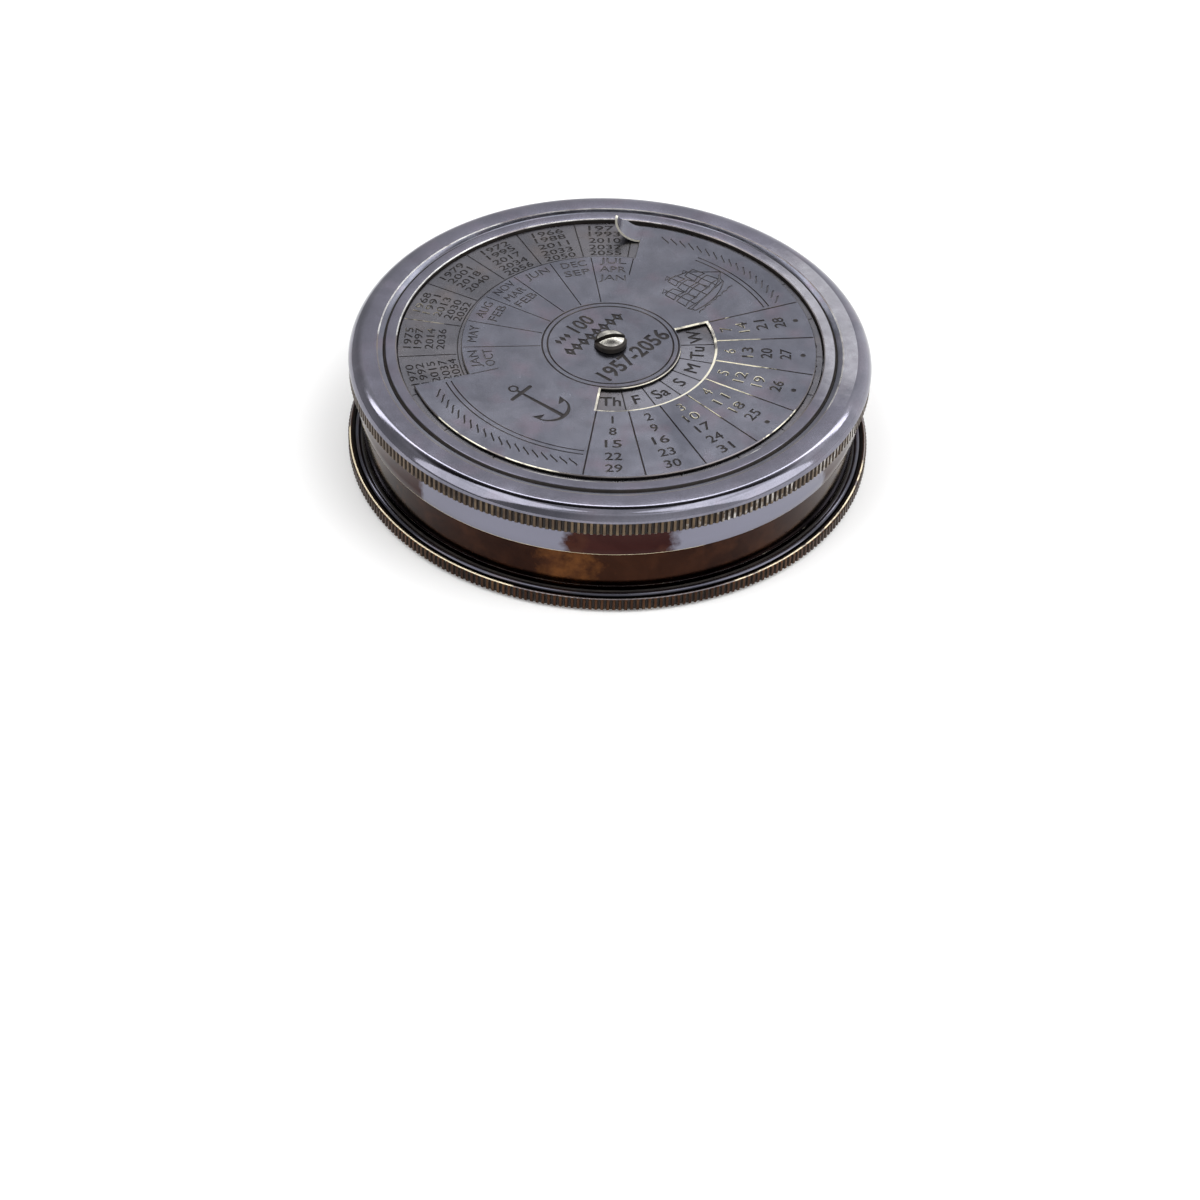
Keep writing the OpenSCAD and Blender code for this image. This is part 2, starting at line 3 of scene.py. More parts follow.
import bmesh
import bpy
import numpy as np
from mathutils import Matrix, Vector
from mathutils.geometry import delaunay_2d_cdt


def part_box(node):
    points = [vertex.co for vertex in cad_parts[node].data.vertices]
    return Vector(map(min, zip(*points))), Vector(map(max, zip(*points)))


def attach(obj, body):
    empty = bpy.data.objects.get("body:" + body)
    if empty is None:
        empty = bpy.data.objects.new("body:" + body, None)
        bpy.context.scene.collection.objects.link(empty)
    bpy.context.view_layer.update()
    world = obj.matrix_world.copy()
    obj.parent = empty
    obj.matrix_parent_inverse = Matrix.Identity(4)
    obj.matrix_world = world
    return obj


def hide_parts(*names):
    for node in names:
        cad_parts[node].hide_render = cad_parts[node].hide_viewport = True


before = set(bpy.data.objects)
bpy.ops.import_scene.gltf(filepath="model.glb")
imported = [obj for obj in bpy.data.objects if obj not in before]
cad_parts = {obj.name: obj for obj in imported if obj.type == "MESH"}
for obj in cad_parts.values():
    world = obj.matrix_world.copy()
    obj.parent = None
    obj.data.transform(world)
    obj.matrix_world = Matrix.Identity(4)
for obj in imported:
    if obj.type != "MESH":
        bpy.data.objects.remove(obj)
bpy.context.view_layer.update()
scene = bpy.context.scene

MM = 0.001
TAU = 2 * math.pi


def node_z(node):
    """Lowest and highest z of a CAD node, in millimetres."""
    low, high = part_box(node)
    return low[2] / MM, high[2] / MM


def radius_of(node):
    """How far a CAD node reaches along X, in millimetres."""
    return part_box(node)[1][0] / MM


# Sizes in millimetres and angles in degrees, as in the part's source
LID_R = radius_of("lid_shell")
CAP_R = radius_of("base_cap")
DISC_R = radius_of("calendar_disc")
PLATE_R = radius_of("year_plate")
LID_Z, LID_TOP = node_z("lid_shell")
CASE_Z, CASE_TOP = node_z("case_ring")
PLATE_Z, PLATE_TOP = node_z("year_plate")
DISC_Z = node_z("calendar_disc")[0]
DISC_T = 0.35
DISC_TOP = DISC_Z + DISC_T
SKIRT_R = 37.5
WALL_R = 36.8
RECESS_R = 31.5
YEARS_R = 22.0
WINDOW_IN, WINDOW_OUT = 10.4, 15.4
COLUMN = 360 / 21
WINDOW_FROM, WINDOW_TO = -96.5, -96.5 + 7 * COLUMN
YEARS_FROM, YEARS_TO = 81.5, 81.5 + 7 * COLUMN


# Procedural materials

class Nodes:
    """A short way to write a node tree."""

    def __init__(self, block):
        block.use_nodes = True
        self.tree = block.node_tree
        self.tree.nodes.clear()

    def new(self, kind, **values):
        node = self.tree.nodes.new(kind)
        for key, value in values.items():
            setattr(node, key, value)
        return node

    def link(self, output, socket):
        self.tree.links.new(output, socket)

    def put(self, socket, value):
        """Link a socket to an output, or give it a number or a colour."""
        if hasattr(value, "is_output"):
            self.link(value, socket)
        else:
            socket.default_value = (*value, 1) if isinstance(value, tuple) else value

    def filled(self, kind, **sockets):
        """The output of a new node, with its sockets filled by name."""
        node = self.new(kind)
        for name, value in sockets.items():
            self.put(node.inputs[name], value)
        return node.outputs[0]

    def math(self, op, a, b=None, clamp=False):
        node = self.new("ShaderNodeMath", operation=op, use_clamp=clamp)
        for socket, value in zip(node.inputs, (a, b)):
            if value is not None:
                self.put(socket, value)
        return node.outputs[0]

    def split(self, vector):
        node = self.new("ShaderNodeSeparateXYZ")
        self.link(vector, node.inputs[0])
        return node.outputs

    def times(self, a, b, clamp=False):
        return self.math("MULTIPLY", a, b, clamp)

    def ramp(self, value, stops):
        """Grey levels by value, from stops of (place, level)."""
        node = self.new("ShaderNodeValToRGB")
        elements = node.color_ramp.elements
        elements.remove(elements[1])
        for i, (at, level) in enumerate(stops):
            element = elements.new(at) if i else elements[0]
            element.position = at
            element.color = (level, level, level, 1)
        self.link(value, node.inputs[0])
        return node.outputs[0]

    def mix(self, factor, a, b, blend="MIX"):
        node = self.new("ShaderNodeMix", data_type="RGBA", blend_type=blend)
        for number, value in ((0, factor), (6, a), (7, b)):
            self.put(node.inputs[number], value)
        return node.outputs[2]


class Surface(Nodes):
    """A material with one shader, in the object's own coordinates."""

    def __init__(self, name):
        self.mat = bpy.data.materials.new(name)
        super().__init__(self.mat)
        self.bsdf = self.new("ShaderNodeBsdfPrincipled")
        self.link(self.bsdf.outputs[0], self.new("ShaderNodeOutputMaterial").inputs[0])
        self.coord = self.new("ShaderNodeTexCoord").outputs["Object"]

    def set(self, **values):
        """Fill the shader's sockets, with _ for the spaces in their names."""
        for key, value in values.items():
            self.put(self.bsdf.inputs[key.replace("_", " ")], value)

    def noise(self, scale, detail=4.0, rough=0.55, coord=None, distort=0.0):
        return self.filled("ShaderNodeTexNoise", Vector=coord or self.coord, Scale=scale,
                           Detail=detail, Roughness=rough, Distortion=distort)

    def length(self, x, y):
        return self.math("SQRT", self.math("ADD", self.times(x, x), self.times(y, y)))

    def turning_marks(self, fine):
        """Noise drawn out round the Z axis, like the marks that turning leaves."""
        x, y, z = self.split(self.coord)
        angle = self.math("ARCTAN2", y, x)
        around = self.filled("ShaderNodeCombineXYZ", X=self.times(self.length(x, y), fine),
                             Y=self.times(angle, 3), Z=self.times(z, fine))
        return self.noise(1, 3, 0.6, around)

    def in_spots(self, spots):
        """A level that is high in round spots (x, y, radius, gain)."""
        x, y, _ = self.split(self.coord)
        level = 0.0
        for cx, cy, radius, gain in spots:
            off = self.length(self.math("SUBTRACT", x, cx * MM),
                              self.math("SUBTRACT", y, cy * MM))
            share = self.math("SUBTRACT", 1.0, self.math("DIVIDE", off, radius * MM), True)
            share = self.times(self.times(share, 2.0, True), gain)
            level = self.math("MAXIMUM", level, share)
        return level

    def in_zones(self, zones, fade):
        """A level that is high in zones (from, to, gain) round the axis, in degrees."""
        stops = [(0.0, 0.0)]
        for start, end, gain in sorted(zones):
            for at, value in ((start - fade, 0), (start, gain), (end, gain), (end + fade, 0)):
                stops.append(((at + 180) / 360, value))
        x, y, _ = self.split(self.coord)
        around = self.math("DIVIDE", self.math("ARCTAN2", y, x), TAU)
        return self.ramp(self.math("ADD", around, 0.5), stops)

    def bump(self, height, strength, distance):
        """Relief of a depth in millimetres."""
        self.set(Normal=self.filled("ShaderNodeBump", Strength=strength,
                                    Distance=distance * MM, Height=height))


SOOT = (0.02, 0.018, 0.02)
CREAM = (0.8, 0.76, 0.62)
SILVERY = (0.56, 0.56, 0.55)


def patina(name, dark, light, tint, rough=(0.26, 0.4), turned=0.5, worn=0.0, wear_and_light_tone=CREAM,
           spots=(), zones=(), fade=4.0, soft=0.12, dull=0.6):
    """Antiqued brass: a dark cloudy skin, fine marks, and a second tone that shows wear on most
    materials, and painted light and painted reflections on the rim, the plate, the skirt and the
    wall.

    worn is the wear all over, and spots or zones have more of the second tone. soft is how
    slowly the second tone comes through, and dull is what it loses of its shine.
    """
    m = Surface(name)
    clouds = m.noise(90, 5, 0.6, distort=0.6)
    blots = m.noise(230, 3, 0.5)
    grain = m.noise(5200, 2, 0.6)
    colour = m.mix(m.ramp(clouds, [(0.35, 0.0), (0.66, 1.0)]), dark, light)
    colour = m.mix(m.ramp(blots, [(0.52, 0.0), (0.72, 0.55)]), colour, tint)
    specks = m.times(m.ramp(grain, [(0.35, 0.0), (0.75, 1.0)]), 0.18)
    colour = m.mix(specks, colour, SOOT)
    metallic = 1.0
    if worn or spots or zones:
        level = m.noise(420, 5, 0.65)
        if spots or zones:
            more = m.in_spots(spots) if spots else m.in_zones(zones, fade)
            level = m.math("ADD", level, m.times(more, 0.5))
        low = 0.75 - 0.45 * worn
        level = m.math("DIVIDE", m.math("SUBTRACT", level, low), soft, True)
        colour = m.mix(level, colour, wear_and_light_tone)
        metallic = m.math("SUBTRACT", 1.0, m.times(level, dull))
    m.set(Base_Color=colour, Metallic=metallic,
          Roughness=m.ramp(m.noise(300, 4, 0.6), [(0.3, rough[0]), (0.7, rough[1])]))
    height = m.math("ADD", m.times(m.turning_marks(9000), turned), m.times(grain, 0.35))
    m.bump(height, 0.25, 0.02)
    return m.mat


def plain_metal(name, colour, tint, rough, turned=0.6):
    """Bare metal with a slight change of tone and turning marks."""
    m = Surface(name)
    m.set(Base_Color=m.mix(m.ramp(m.noise(200, 4), [(0.35, 0.0), (0.7, 1.0)]), colour, tint),
          Metallic=1.0,
          Roughness=m.ramp(m.noise(900, 3), [(0.3, rough * 0.8), (0.7, rough * 1.3)]))
    m.bump(m.times(m.turning_marks(8000), turned), 0.25, 0.02)
    return m.mat


def matt(name, colour, tint, rough, metallic=0.0, scale=700):
    """A dull surface with grain."""
    m = Surface(name)
    grain = m.noise(scale, 5, 0.6)
    m.set(Base_Color=m.mix(m.ramp(grain, [(0.3, 0.0), (0.7, 1.0)]), colour, tint),
          Roughness=rough, Metallic=metallic)
    m.bump(grain, 0.1, 0.03)
    return m.mat


def clear_glass(name):
    """Glass with a trace of green and faint polishing marks."""
    m = Surface(name)
    m.set(Base_Color=m.mix(m.noise(150, 2), (0.97, 0.99, 0.985), (0.94, 0.98, 0.97)),
          Roughness=0.02, IOR=1.45, Transmission_Weight=1.0)
    m.bump(m.noise(400, 2), 0.02, 0.01)
    return m.mat


DARK_EDGE = ((0.12, 0.11, 0.12), (0.22, 0.2, 0.2), (0.2, 0.17, 0.14))
# Rim patina; its broad pale spot on the right side is painted light
RIM_PATINA_PAINTED_LIGHT = patina(
    "rim_patina_painted_light", (0.15, 0.148, 0.185), (0.195, 0.19, 0.24), (0.19, 0.165, 0.21),
    (0.13, 0.22), wear_and_light_tone=(0.52, 0.515, 0.56), spots=((34, 8, 24, 1.9),), soft=1.2, dull=0)
BULGE = patina(
    "patina_bulge", (0.15, 0.15, 0.185), (0.22, 0.215, 0.26), (0.2, 0.18, 0.22),
    (0.06, 0.13))
DIAL = patina(
    "patina_disc", (0.118, 0.122, 0.152), (0.17, 0.172, 0.208), (0.175, 0.14, 0.175),
    (0.17, 0.28), turned=0.1)
# Plate patina; its pale spot under the weekday window is painted light, which makes the plate
# there as bright as the disc although it lies in the disc's shade
PLATE_PATINA_PAINTED_LIGHT = patina(
    "plate_patina_painted_light", (0.1, 0.1, 0.115), (0.145, 0.14, 0.155), (0.145, 0.125, 0.125),
    (0.22, 0.34), turned=0.1, wear_and_light_tone=(0.18, 0.18, 0.21), spots=((10.4, -7.7, 14, 1.6),),
    soft=0.5, dull=0)
# Skirt: its dark red-brown is painted reflection of wood, and its pale blue-grey zones at the
# front-left and front-right are painted reflections of the bright room
SKIRT_PATINA_PAINTED_REFLECTION = patina(
    "skirt_patina_painted_reflection", (0.022, 0.006, 0.006), (0.045, 0.015, 0.013), (0.08, 0.03, 0.018),
    (0.08, 0.13), wear_and_light_tone=(0.205, 0.205, 0.258), zones=((-132, -101, 1.5), (-72, -36, 1.5)),
    fade=5.0, soft=0.3, dull=0)
BEAD = patina(
    "patina_bead", (0.05, 0.05, 0.065), (0.09, 0.09, 0.11), (0.08, 0.06, 0.06),
    (0.08, 0.13))
# Case wall: dark patina whose red-brown is also painted reflection of wood, with orange-brown
# zones that are painted reflections of lit wood
WALL_PATINA_PAINTED_REFLECTION = patina(
    "wall_patina_painted_reflection", (0.016, 0.006, 0.004), (0.04, 0.015, 0.008), (0.07, 0.026, 0.012),
    (0.1, 0.16), wear_and_light_tone=(0.26, 0.1, 0.028),
    zones=((-160, -142, 0.5), (-100, -95, 0.9), (-26, -14, 0.4)), fade=12.0, soft=0.8, dull=0)
EDGE = patina(
    "worn_edge", (0.2, 0.18, 0.17), (0.36, 0.33, 0.3), (0.4, 0.36, 0.28), (0.22, 0.36),
    worn=0.3, wear_and_light_tone=(0.7, 0.65, 0.5))
DISC_EDGE = patina(
    "disc_edge", *DARK_EDGE, (0.22, 0.36),
    zones=((-141, -126, 0.9), (-117, -104, 0.9), (-41, -29, 0.7), (14, 34, 0.4), (48, 66, 0.9)))
LIP = patina(
    "recess_lip", *DARK_EDGE, (0.2, 0.3), wear_and_light_tone=SILVERY, soft=0.5,
    zones=((-110, -94, 1.1), (-52, -48, 1.0), (78, 114, 0.8), (126, 192, 1.2)))
GROOVE_EDGE = patina(
    "groove_edge", *DARK_EDGE, wear_and_light_tone=SILVERY, soft=0.5,
    zones=((-22, 15, 0.9), (68, 112, 0.75), (122, 205, 1.1)))
SKIRT_EDGE = patina(
    "skirt_edge", *DARK_EDGE, wear_and_light_tone=(0.8, 0.7, 0.48), zones=((-168, -70, 1.5), (-60, -20, 0.6)),
    dull=0.8)
CAP_EDGE = patina(
    "cap_edge", *DARK_EDGE, wear_and_light_tone=(0.8, 0.7, 0.5), zones=((-175, -112, 1.2), (-60, -10, 0.6)),
    worn=0.15, dull=0.7)
WORN = patina(
    "worn_bright", (0.66, 0.6, 0.46), (0.8, 0.76, 0.64), (0.84, 0.8, 0.7), (0.25, 0.4),
    worn=1.0, wear_and_light_tone=(0.84, 0.81, 0.7), dull=0.5)
TEETH = patina(
    "knurl_crest", (0.07, 0.05, 0.036), (0.16, 0.115, 0.075), (0.24, 0.18, 0.11),
    (0.3, 0.45), worn=0.2, wear_and_light_tone=(0.42, 0.4, 0.38), zones=((-65, -25, 0.3),), fade=25.0)
CAP_TEETH = patina(
    "cap_crest", (0.03, 0.014, 0.009), (0.09, 0.042, 0.022), (0.14, 0.08, 0.04),
    (0.25, 0.4), worn=0.15, wear_and_light_tone=(0.42, 0.28, 0.16))
LINE = patina(
    "line_floor", (0.014, 0.012, 0.014), (0.035, 0.03, 0.03), (0.03, 0.024, 0.02),
    wear_and_light_tone=(0.75, 0.7, 0.58), soft=0.2,
    spots=((18.4, -3.6, 5.5, 1.0), (18.5, 1.8, 4.5, 0.6), (17.2, -9.0, 4.2, 0.7)))
BANK = patina(
    "engraving_bank", (0.06, 0.055, 0.06), (0.16, 0.145, 0.14), (0.2, 0.17, 0.12), worn=0.1,
    spots=((18.2, -6.2, 7.5, 1.0), (14.5, -13.0, 6.0, 0.8), (18.5, 3.5, 5.0, 0.7)))
YEAR_BANK = patina(
    "year_bank", (0.06, 0.056, 0.06), (0.15, 0.14, 0.13), (0.2, 0.17, 0.12), worn=0.1,
    wear_and_light_tone=(0.5, 0.46, 0.38), spots=((-28.8, 6.0, 5.5, 0.7),))
HEAD = patina(
    "screw_head", (0.26, 0.25, 0.24), (0.5, 0.48, 0.45), (0.22, 0.2, 0.19), (0.16, 0.32),
    worn=0.6, wear_and_light_tone=(0.58, 0.56, 0.5), dull=0.5)
WINDOW_EDGE = patina(
    "window_edge", (0.26, 0.25, 0.24), (0.44, 0.42, 0.38), (0.5, 0.47, 0.4), (0.22, 0.36),
    worn=0.6, zones=((-70, -12, 0.5),), fade=12.0)
FLANK = matt("knurl_flank", (0.03, 0.022, 0.018), (0.055, 0.04, 0.03), 0.45, 0.7)
GAP = matt("knurl_gap", (0.012, 0.009, 0.008), (0.025, 0.018, 0.015), 0.5, 0.6)
# Black painted shade for faces that lie in shade: the sides of the disc and the plate, the lid's
# groove bottom and recess wall, the hollows by the skirt and the bead, the cap's top face, and
# the screw's side and slot
PAINTED_SHADE = matt("painted_shade_black", (0.012, 0.01, 0.01), (0.03, 0.024, 0.02), 0.6, 0.5)
FLOOR = matt("engraving_floor", (0.012, 0.01, 0.012), (0.03, 0.026, 0.026), 0.5, 0.6)
FAINT = matt("faint_floor", (0.06, 0.058, 0.066), (0.1, 0.096, 0.108), 0.4, 0.8)
BRASS_TONES = ((0.5, 0.38, 0.18), (0.62, 0.5, 0.27))
BRASS = plain_metal("plain_brass", *BRASS_TONES, 0.28)
STEEL = plain_metal("bright_steel", (0.72, 0.7, 0.67), (0.8, 0.78, 0.75), 0.16, 0.3)


# Tools that make meshes

def link_new(name, data):
    obj = bpy.data.objects.new(name, data)
    scene.collection.objects.link(obj)
    return obj


def add_object(name, verts, faces, indices, materials, smooth=None):
    """An object from points in millimetres, with the number of each face's material."""
    mesh = bpy.data.meshes.new(name)
    mesh.from_pydata([tuple(v) for v in np.asarray(verts, float) * MM], [], faces)
    for material in materials:
        mesh.materials.append(material)
    mesh.polygons.foreach_set("material_index", indices)
    if smooth is not None:
        mesh.polygons.foreach_set("use_smooth", smooth)
    return link_new(name, mesh)


def numbered(materials):
    """Each material's number."""
    return {material: i for i, material in enumerate(dict.fromkeys(materials))}


def rework(obj, work):
    """Change an object's mesh by a function of its bmesh."""
    bm = bmesh.new()
    bm.from_mesh(obj.data)
    work(bm)
    bm.to_mesh(obj.data)
    bm.free()


def face_out(bm):
    """Turn the faces of a closed mesh outwards."""
    bmesh.ops.recalc_face_normals(bm, faces=bm.faces)


def weld(bm):
    """Join the points that meet, and drop what is loose or has no area."""
    bmesh.ops.remove_doubles(bm, verts=bm.verts, dist=2e-7)
    bmesh.ops.delete(bm, geom=[v for v in bm.verts if not v.link_faces], context="VERTS")
    bmesh.ops.dissolve_degenerate(bm, edges=bm.edges, dist=1e-7)


def bevel(obj, width, angle):
    """Round the edges that bend by more than an angle in degrees."""
    edge = obj.modifiers.new("edge", "BEVEL")
    edge.width = width * MM
    edge.segments = 2
    edge.limit_method = "ANGLE"
    edge.angle_limit = math.radians(angle)
    return edge


def sharp_rows(points, crisp):
    """Which points of a closed section bend by more than an angle in degrees."""
    at = points @ np.array([1, 1j])
    ahead = np.roll(at, -1) - at
    return np.degrees(np.abs(np.angle(ahead / np.roll(ahead, 1)))) > crisp


# Corners of a tooth as shares of its pitch, the crest first
TOOTH_CORNERS = (-0.2, 0.2, 0.35, 0.65)


def turned(name, profile, teeth=0, flank=None, root=None, segments=360, crisp=24):
    """A body of revolution round the Z axis.

    profile is a closed section of points (r, z) or (r, z, tooth depth). A material in it
    is that of the faces that start at the points after it.
    """
    count, shares = (teeth, TOOTH_CORNERS) if teeth else (segments, (0,))
    angles = np.array([(i + share) * TAU / count for i in range(count) for share in shares])
    low = np.array(([0, 0, 1, 1] if teeth else [0]) * count)
    rows = []
    for item in profile:
        if isinstance(item, tuple):
            rows.append((*item, 0)[:3] + (material,))
        else:
            material = item
    number = numbered([row[3] for row in rows] + [m for m in (flank, root) if m])
    n = len(angles)
    way = np.stack([np.cos(angles), np.sin(angles)], 1)
    verts = [np.column_stack([(r - depth * low)[:, None] * way, np.full(n, z)])
             for r, z, depth, _ in rows]
    faces, indices, smooth = [], [], []
    for j, (_, _, depth, material) in enumerate(rows):
        k = (j + 1) % len(rows)
        toothed = depth > 0 and rows[k][2] > 0
        kinds = (number[material], number.get(flank), number.get(root))
        for i in range(n):
            i2 = (i + 1) % n
            faces.append((j * n + i, j * n + i2, k * n + i2, k * n + i))
            indices.append(kinds[low[i] + low[i2]] if toothed else kinds[0])
            smooth.append(not toothed)
    obj = add_object(name, np.concatenate(verts), faces, indices, number, smooth)
    sharp = sharp_rows(np.array([row[:2] for row in rows]), crisp)
    ends = np.zeros(len(obj.data.edges) * 2, int)
    obj.data.edges.foreach_get("vertices", ends)
    row = ends.reshape(-1, 2) // n
    obj.data.edges.foreach_set("use_edge_sharp", (row[:, 0] == row[:, 1]) & sharp[row[:, 0]])
    rework(obj, face_out)
    return obj


def tube_faces(rings, n):
    """The faces between rings of n points, and then the first and the last ring."""
    faces = [(i + j, i + (j + 1) % n, i + n + (j + 1) % n, i + n + j)
             for i in range(0, n * (rings - 1), n) for j in range(n)]
    last = n * rings
    return faces + [tuple(range(n))[::-1], tuple(range(last - n, last))]


def arc(cr, cz, radius, a0, a1, steps):
    """Points of an arc in the section, from one angle to another, in degrees."""
    return [(cr + radius * math.cos(a), cz + radius * math.sin(a))
            for a in np.radians(np.linspace(a0, a1, steps))]


def inset(points, widths):
    """The loop moved to its left by a width, or by one width for each of its edges."""
    widths = np.broadcast_to(np.asarray(widths, float), len(points))
    ahead = np.roll(points, -1, 0) - points
    ahead /= np.linalg.norm(ahead, axis=1)[:, None]
    normal = np.stack([-ahead[:, 1], ahead[:, 0]], 1)
    before, width_before = np.roll(normal, 1, 0), np.roll(widths, 1)
    left = normal + before
    left /= np.linalg.norm(left, axis=1)[:, None]
    mean = (widths + width_before) / 2
    move = left * (mean / np.maximum(np.sum(left * normal, 1), 0.35))[:, None]
    cross = before[:, 0] * normal[:, 1] - before[:, 1] * normal[:, 0]
    corner = (np.abs(cross) > 0.5) & (np.abs(widths - width_before) > 1e-6)
    exact = np.stack([width_before * normal[:, 1] - widths * before[:, 1],
                      widths * before[:, 0] - width_before * normal[:, 0]], 1)
    move[corner] = exact[corner] / cross[corner][:, None]
    return points + move


def inside(points, starts, ends):
    """Which points lie inside a set of closed loops, by the even-odd rule."""
    x, y = points[:, 0][:, None], points[:, 1][:, None]
    x0, y0, x1, y1 = starts[:, 0], starts[:, 1], ends[:, 0], ends[:, 1]
    spans = (y0 > y) != (y1 > y)
    with np.errstate(divide="ignore", invalid="ignore"):
        at = x0 + (y - y0) * (x1 - x0) / (y1 - y0)
    return np.sum(spans & (x < at), axis=1) % 2 == 1


def triangulate(loops):
    """Triangles of the area that the loops enclose, and where each loop point went."""
    points, edges, first = [], [], 0
    for loop in loops:
        points.extend(loop)
        edges.extend((first + i, first + (i + 1) % len(loop)) for i in range(len(loop)))
        first += len(loop)
    out = delaunay_2d_cdt([Vector(p) for p in points], edges, [], 0, 1e-6, True)
    verts = np.array([tuple(v) for v in out[0]])
    where = {old: new for new, olds in enumerate(out[3]) for old in olds}
    return verts, np.array(out[2]), where


def loop_edges(loops):
    """Where each edge of some closed loops starts and ends."""
    starts = np.concatenate(loops)
    ends = np.concatenate([np.roll(loop, -1, 0) for loop in loops])
    return starts, ends


def sunk_areas(middles, groups):
    """The number of the group of shapes that each point lies in, or 0."""
    sunk = np.zeros(len(middles), int)
    for mark, (shapes, _, _) in enumerate(groups, 1):
        for shape in shapes:
            starts, ends = loop_edges(shape)
            low, high = starts.min(0), starts.max(0)
            near = np.where(np.all((middles > low) & (middles < high), axis=1)
                            & (sunk == 0))[0]
            sunk[near] = inside(middles[near], starts, ends) * mark
    return sunk


def bank_edges(verts, tris, sunk):
    """The edges between sunk and level triangles, and the way inwards at their ends."""
    side = {(tri[i], tri[(i + 1) % 3]): t for t, tri in enumerate(tris) for i in range(3)}
    pull = np.zeros_like(verts)
    banks = []
    for (a, b), t in side.items():
        other = side.get((b, a))
        if sunk[t] and other is not None and not sunk[other]:
            way = verts[b] - verts[a]
            normal = np.array([-way[1], way[0]]) / max(np.linalg.norm(way), 1e-9)
            pull[a] += normal
            pull[b] += normal
            banks.append((a, b, sunk[t]))
    size = np.linalg.norm(pull, axis=1)
    pull[size > 0] /= size[size > 0][:, None]
    return banks, pull


def engraved(name, outline, groups, top, bottom, face, side, bank, depth=0.1, drop=0.12):
    """A flat sheet whose shapes are sunk into its top face, with sloping banks.

    outline is a list of (loop, bevel widths, bevel material) with the sheet on its left.
    groups is a list of (shapes, floor material, bank material), and a shape is a list of loops.
    bank is the width of the banks, and drop the height of the bevels.
    """
    number = numbered([face, side] + [m for _, *two in groups for m in two]
                      + [m for _, _, m in outline])
    inner = [inset(loop, widths) for loop, widths, _ in outline]
    verts, tris, where = triangulate(inner + [loop for shapes, _, _ in groups
                                              for shape in shapes for loop in shape])
    middles = verts[tris].mean(axis=1)
    kept = inside(middles, *loop_edges(inner))
    tris, middles = tris[kept], middles[kept]
    sunk = sunk_areas(middles, groups)
    banks, pull = bank_edges(verts, tris, sunk)
    n = len(verts)
    points = [np.column_stack([verts, np.full(n, top)]),
              np.column_stack([verts + pull * bank, np.full(n, top - depth)])]
    faces = [tuple(tri + n * (mark > 0)) for tri, mark in zip(tris, sunk)]
    indices = [number[groups[mark - 1][1]] if mark else 0 for mark in sunk]
    faces += [(a, b, b + n, a + n) for a, b, _ in banks]
    indices += [number[groups[mark - 1][2]] for _, _, mark in banks]
    first, offset = 2 * n, 0
    for loop, _, material in outline:
        m = len(loop)
        points += [np.column_stack([loop, np.full(m, z)]) for z in (top - drop, bottom)]
        for i in range(m):
            j = (i + 1) % m
            a, b = where[offset + i], where[offset + j]
            faces.append((first + i, first + j, b, a))
            faces.append((first + m + i, first + m + j, first + j, first + i))
            indices += [number[material], 1]
        first += 2 * m
        offset += m
    loops = [loop for loop, _, _ in outline]
    under, under_tris, _ = triangulate(loops)
    kept = inside(under[under_tris].mean(axis=1), *loop_edges(loops))
    points.append(np.column_stack([under, np.full(len(under), bottom)]))
    faces += [tuple(tri[::-1] + first) for tri in under_tris[kept]]
    indices += [0] * int(kept.sum())
    obj = add_object(name, np.concatenate(points), [tuple(int(i) for i in f) for f in faces],
                     indices, number)
    rework(obj, weld)
    return obj


# Figures to engrave

def turn(points, degrees):
    a = math.radians(degrees)
    return points @ np.array([[math.cos(a), math.sin(a)], [-math.sin(a), math.cos(a)]])


def polar(r, degrees):
    a = math.radians(degrees)
    return np.array([r * math.cos(a), r * math.sin(a)])


def circle_loop(r, steps=360):
    """A circle of points, counter-clockwise."""
    a = np.arange(steps) * TAU / steps
    return np.stack([np.cos(a), np.sin(a)], 1) * r


def ring_loops(r, width, steps=240):
    """A ring as a shape of two loops."""
    return [circle_loop(r + width / 2, steps), circle_loop(r - width / 2, steps)[::-1]]


def sweep(r, a0, a1, step=1.0):
    """Points along an arc, with at most a step of degrees between them."""
    n = max(math.ceil(abs(a1 - a0) / step), 1)
    return [polar(r, a) for a in np.linspace(a0, a1, n + 1)]


def arc_band(r, width, a0, a1):
    """A line of even width along an arc."""
    return [np.array(sweep(r + width / 2, a0, a1, 1.5) + sweep(r - width / 2, a1, a0, 1.5))]


def stroke(points, width):
    """A line of even width along points."""
    points = np.asarray(points, float)
    way = np.gradient(points, axis=0)
    way /= np.linalg.norm(way, axis=1)[:, None]
    side = np.stack([-way[:, 1], way[:, 0]], 1) * width / 2
    tip = points[-1] + way[-1] * width * 0.3
    tail = points[0] - way[0] * width * 0.3
    return [np.concatenate([points - side, [tip], (points + side)[::-1], [tail]])]


def radial(r0, r1, degrees, width):
    return stroke([polar(r0, degrees), polar(r1, degrees)], width)


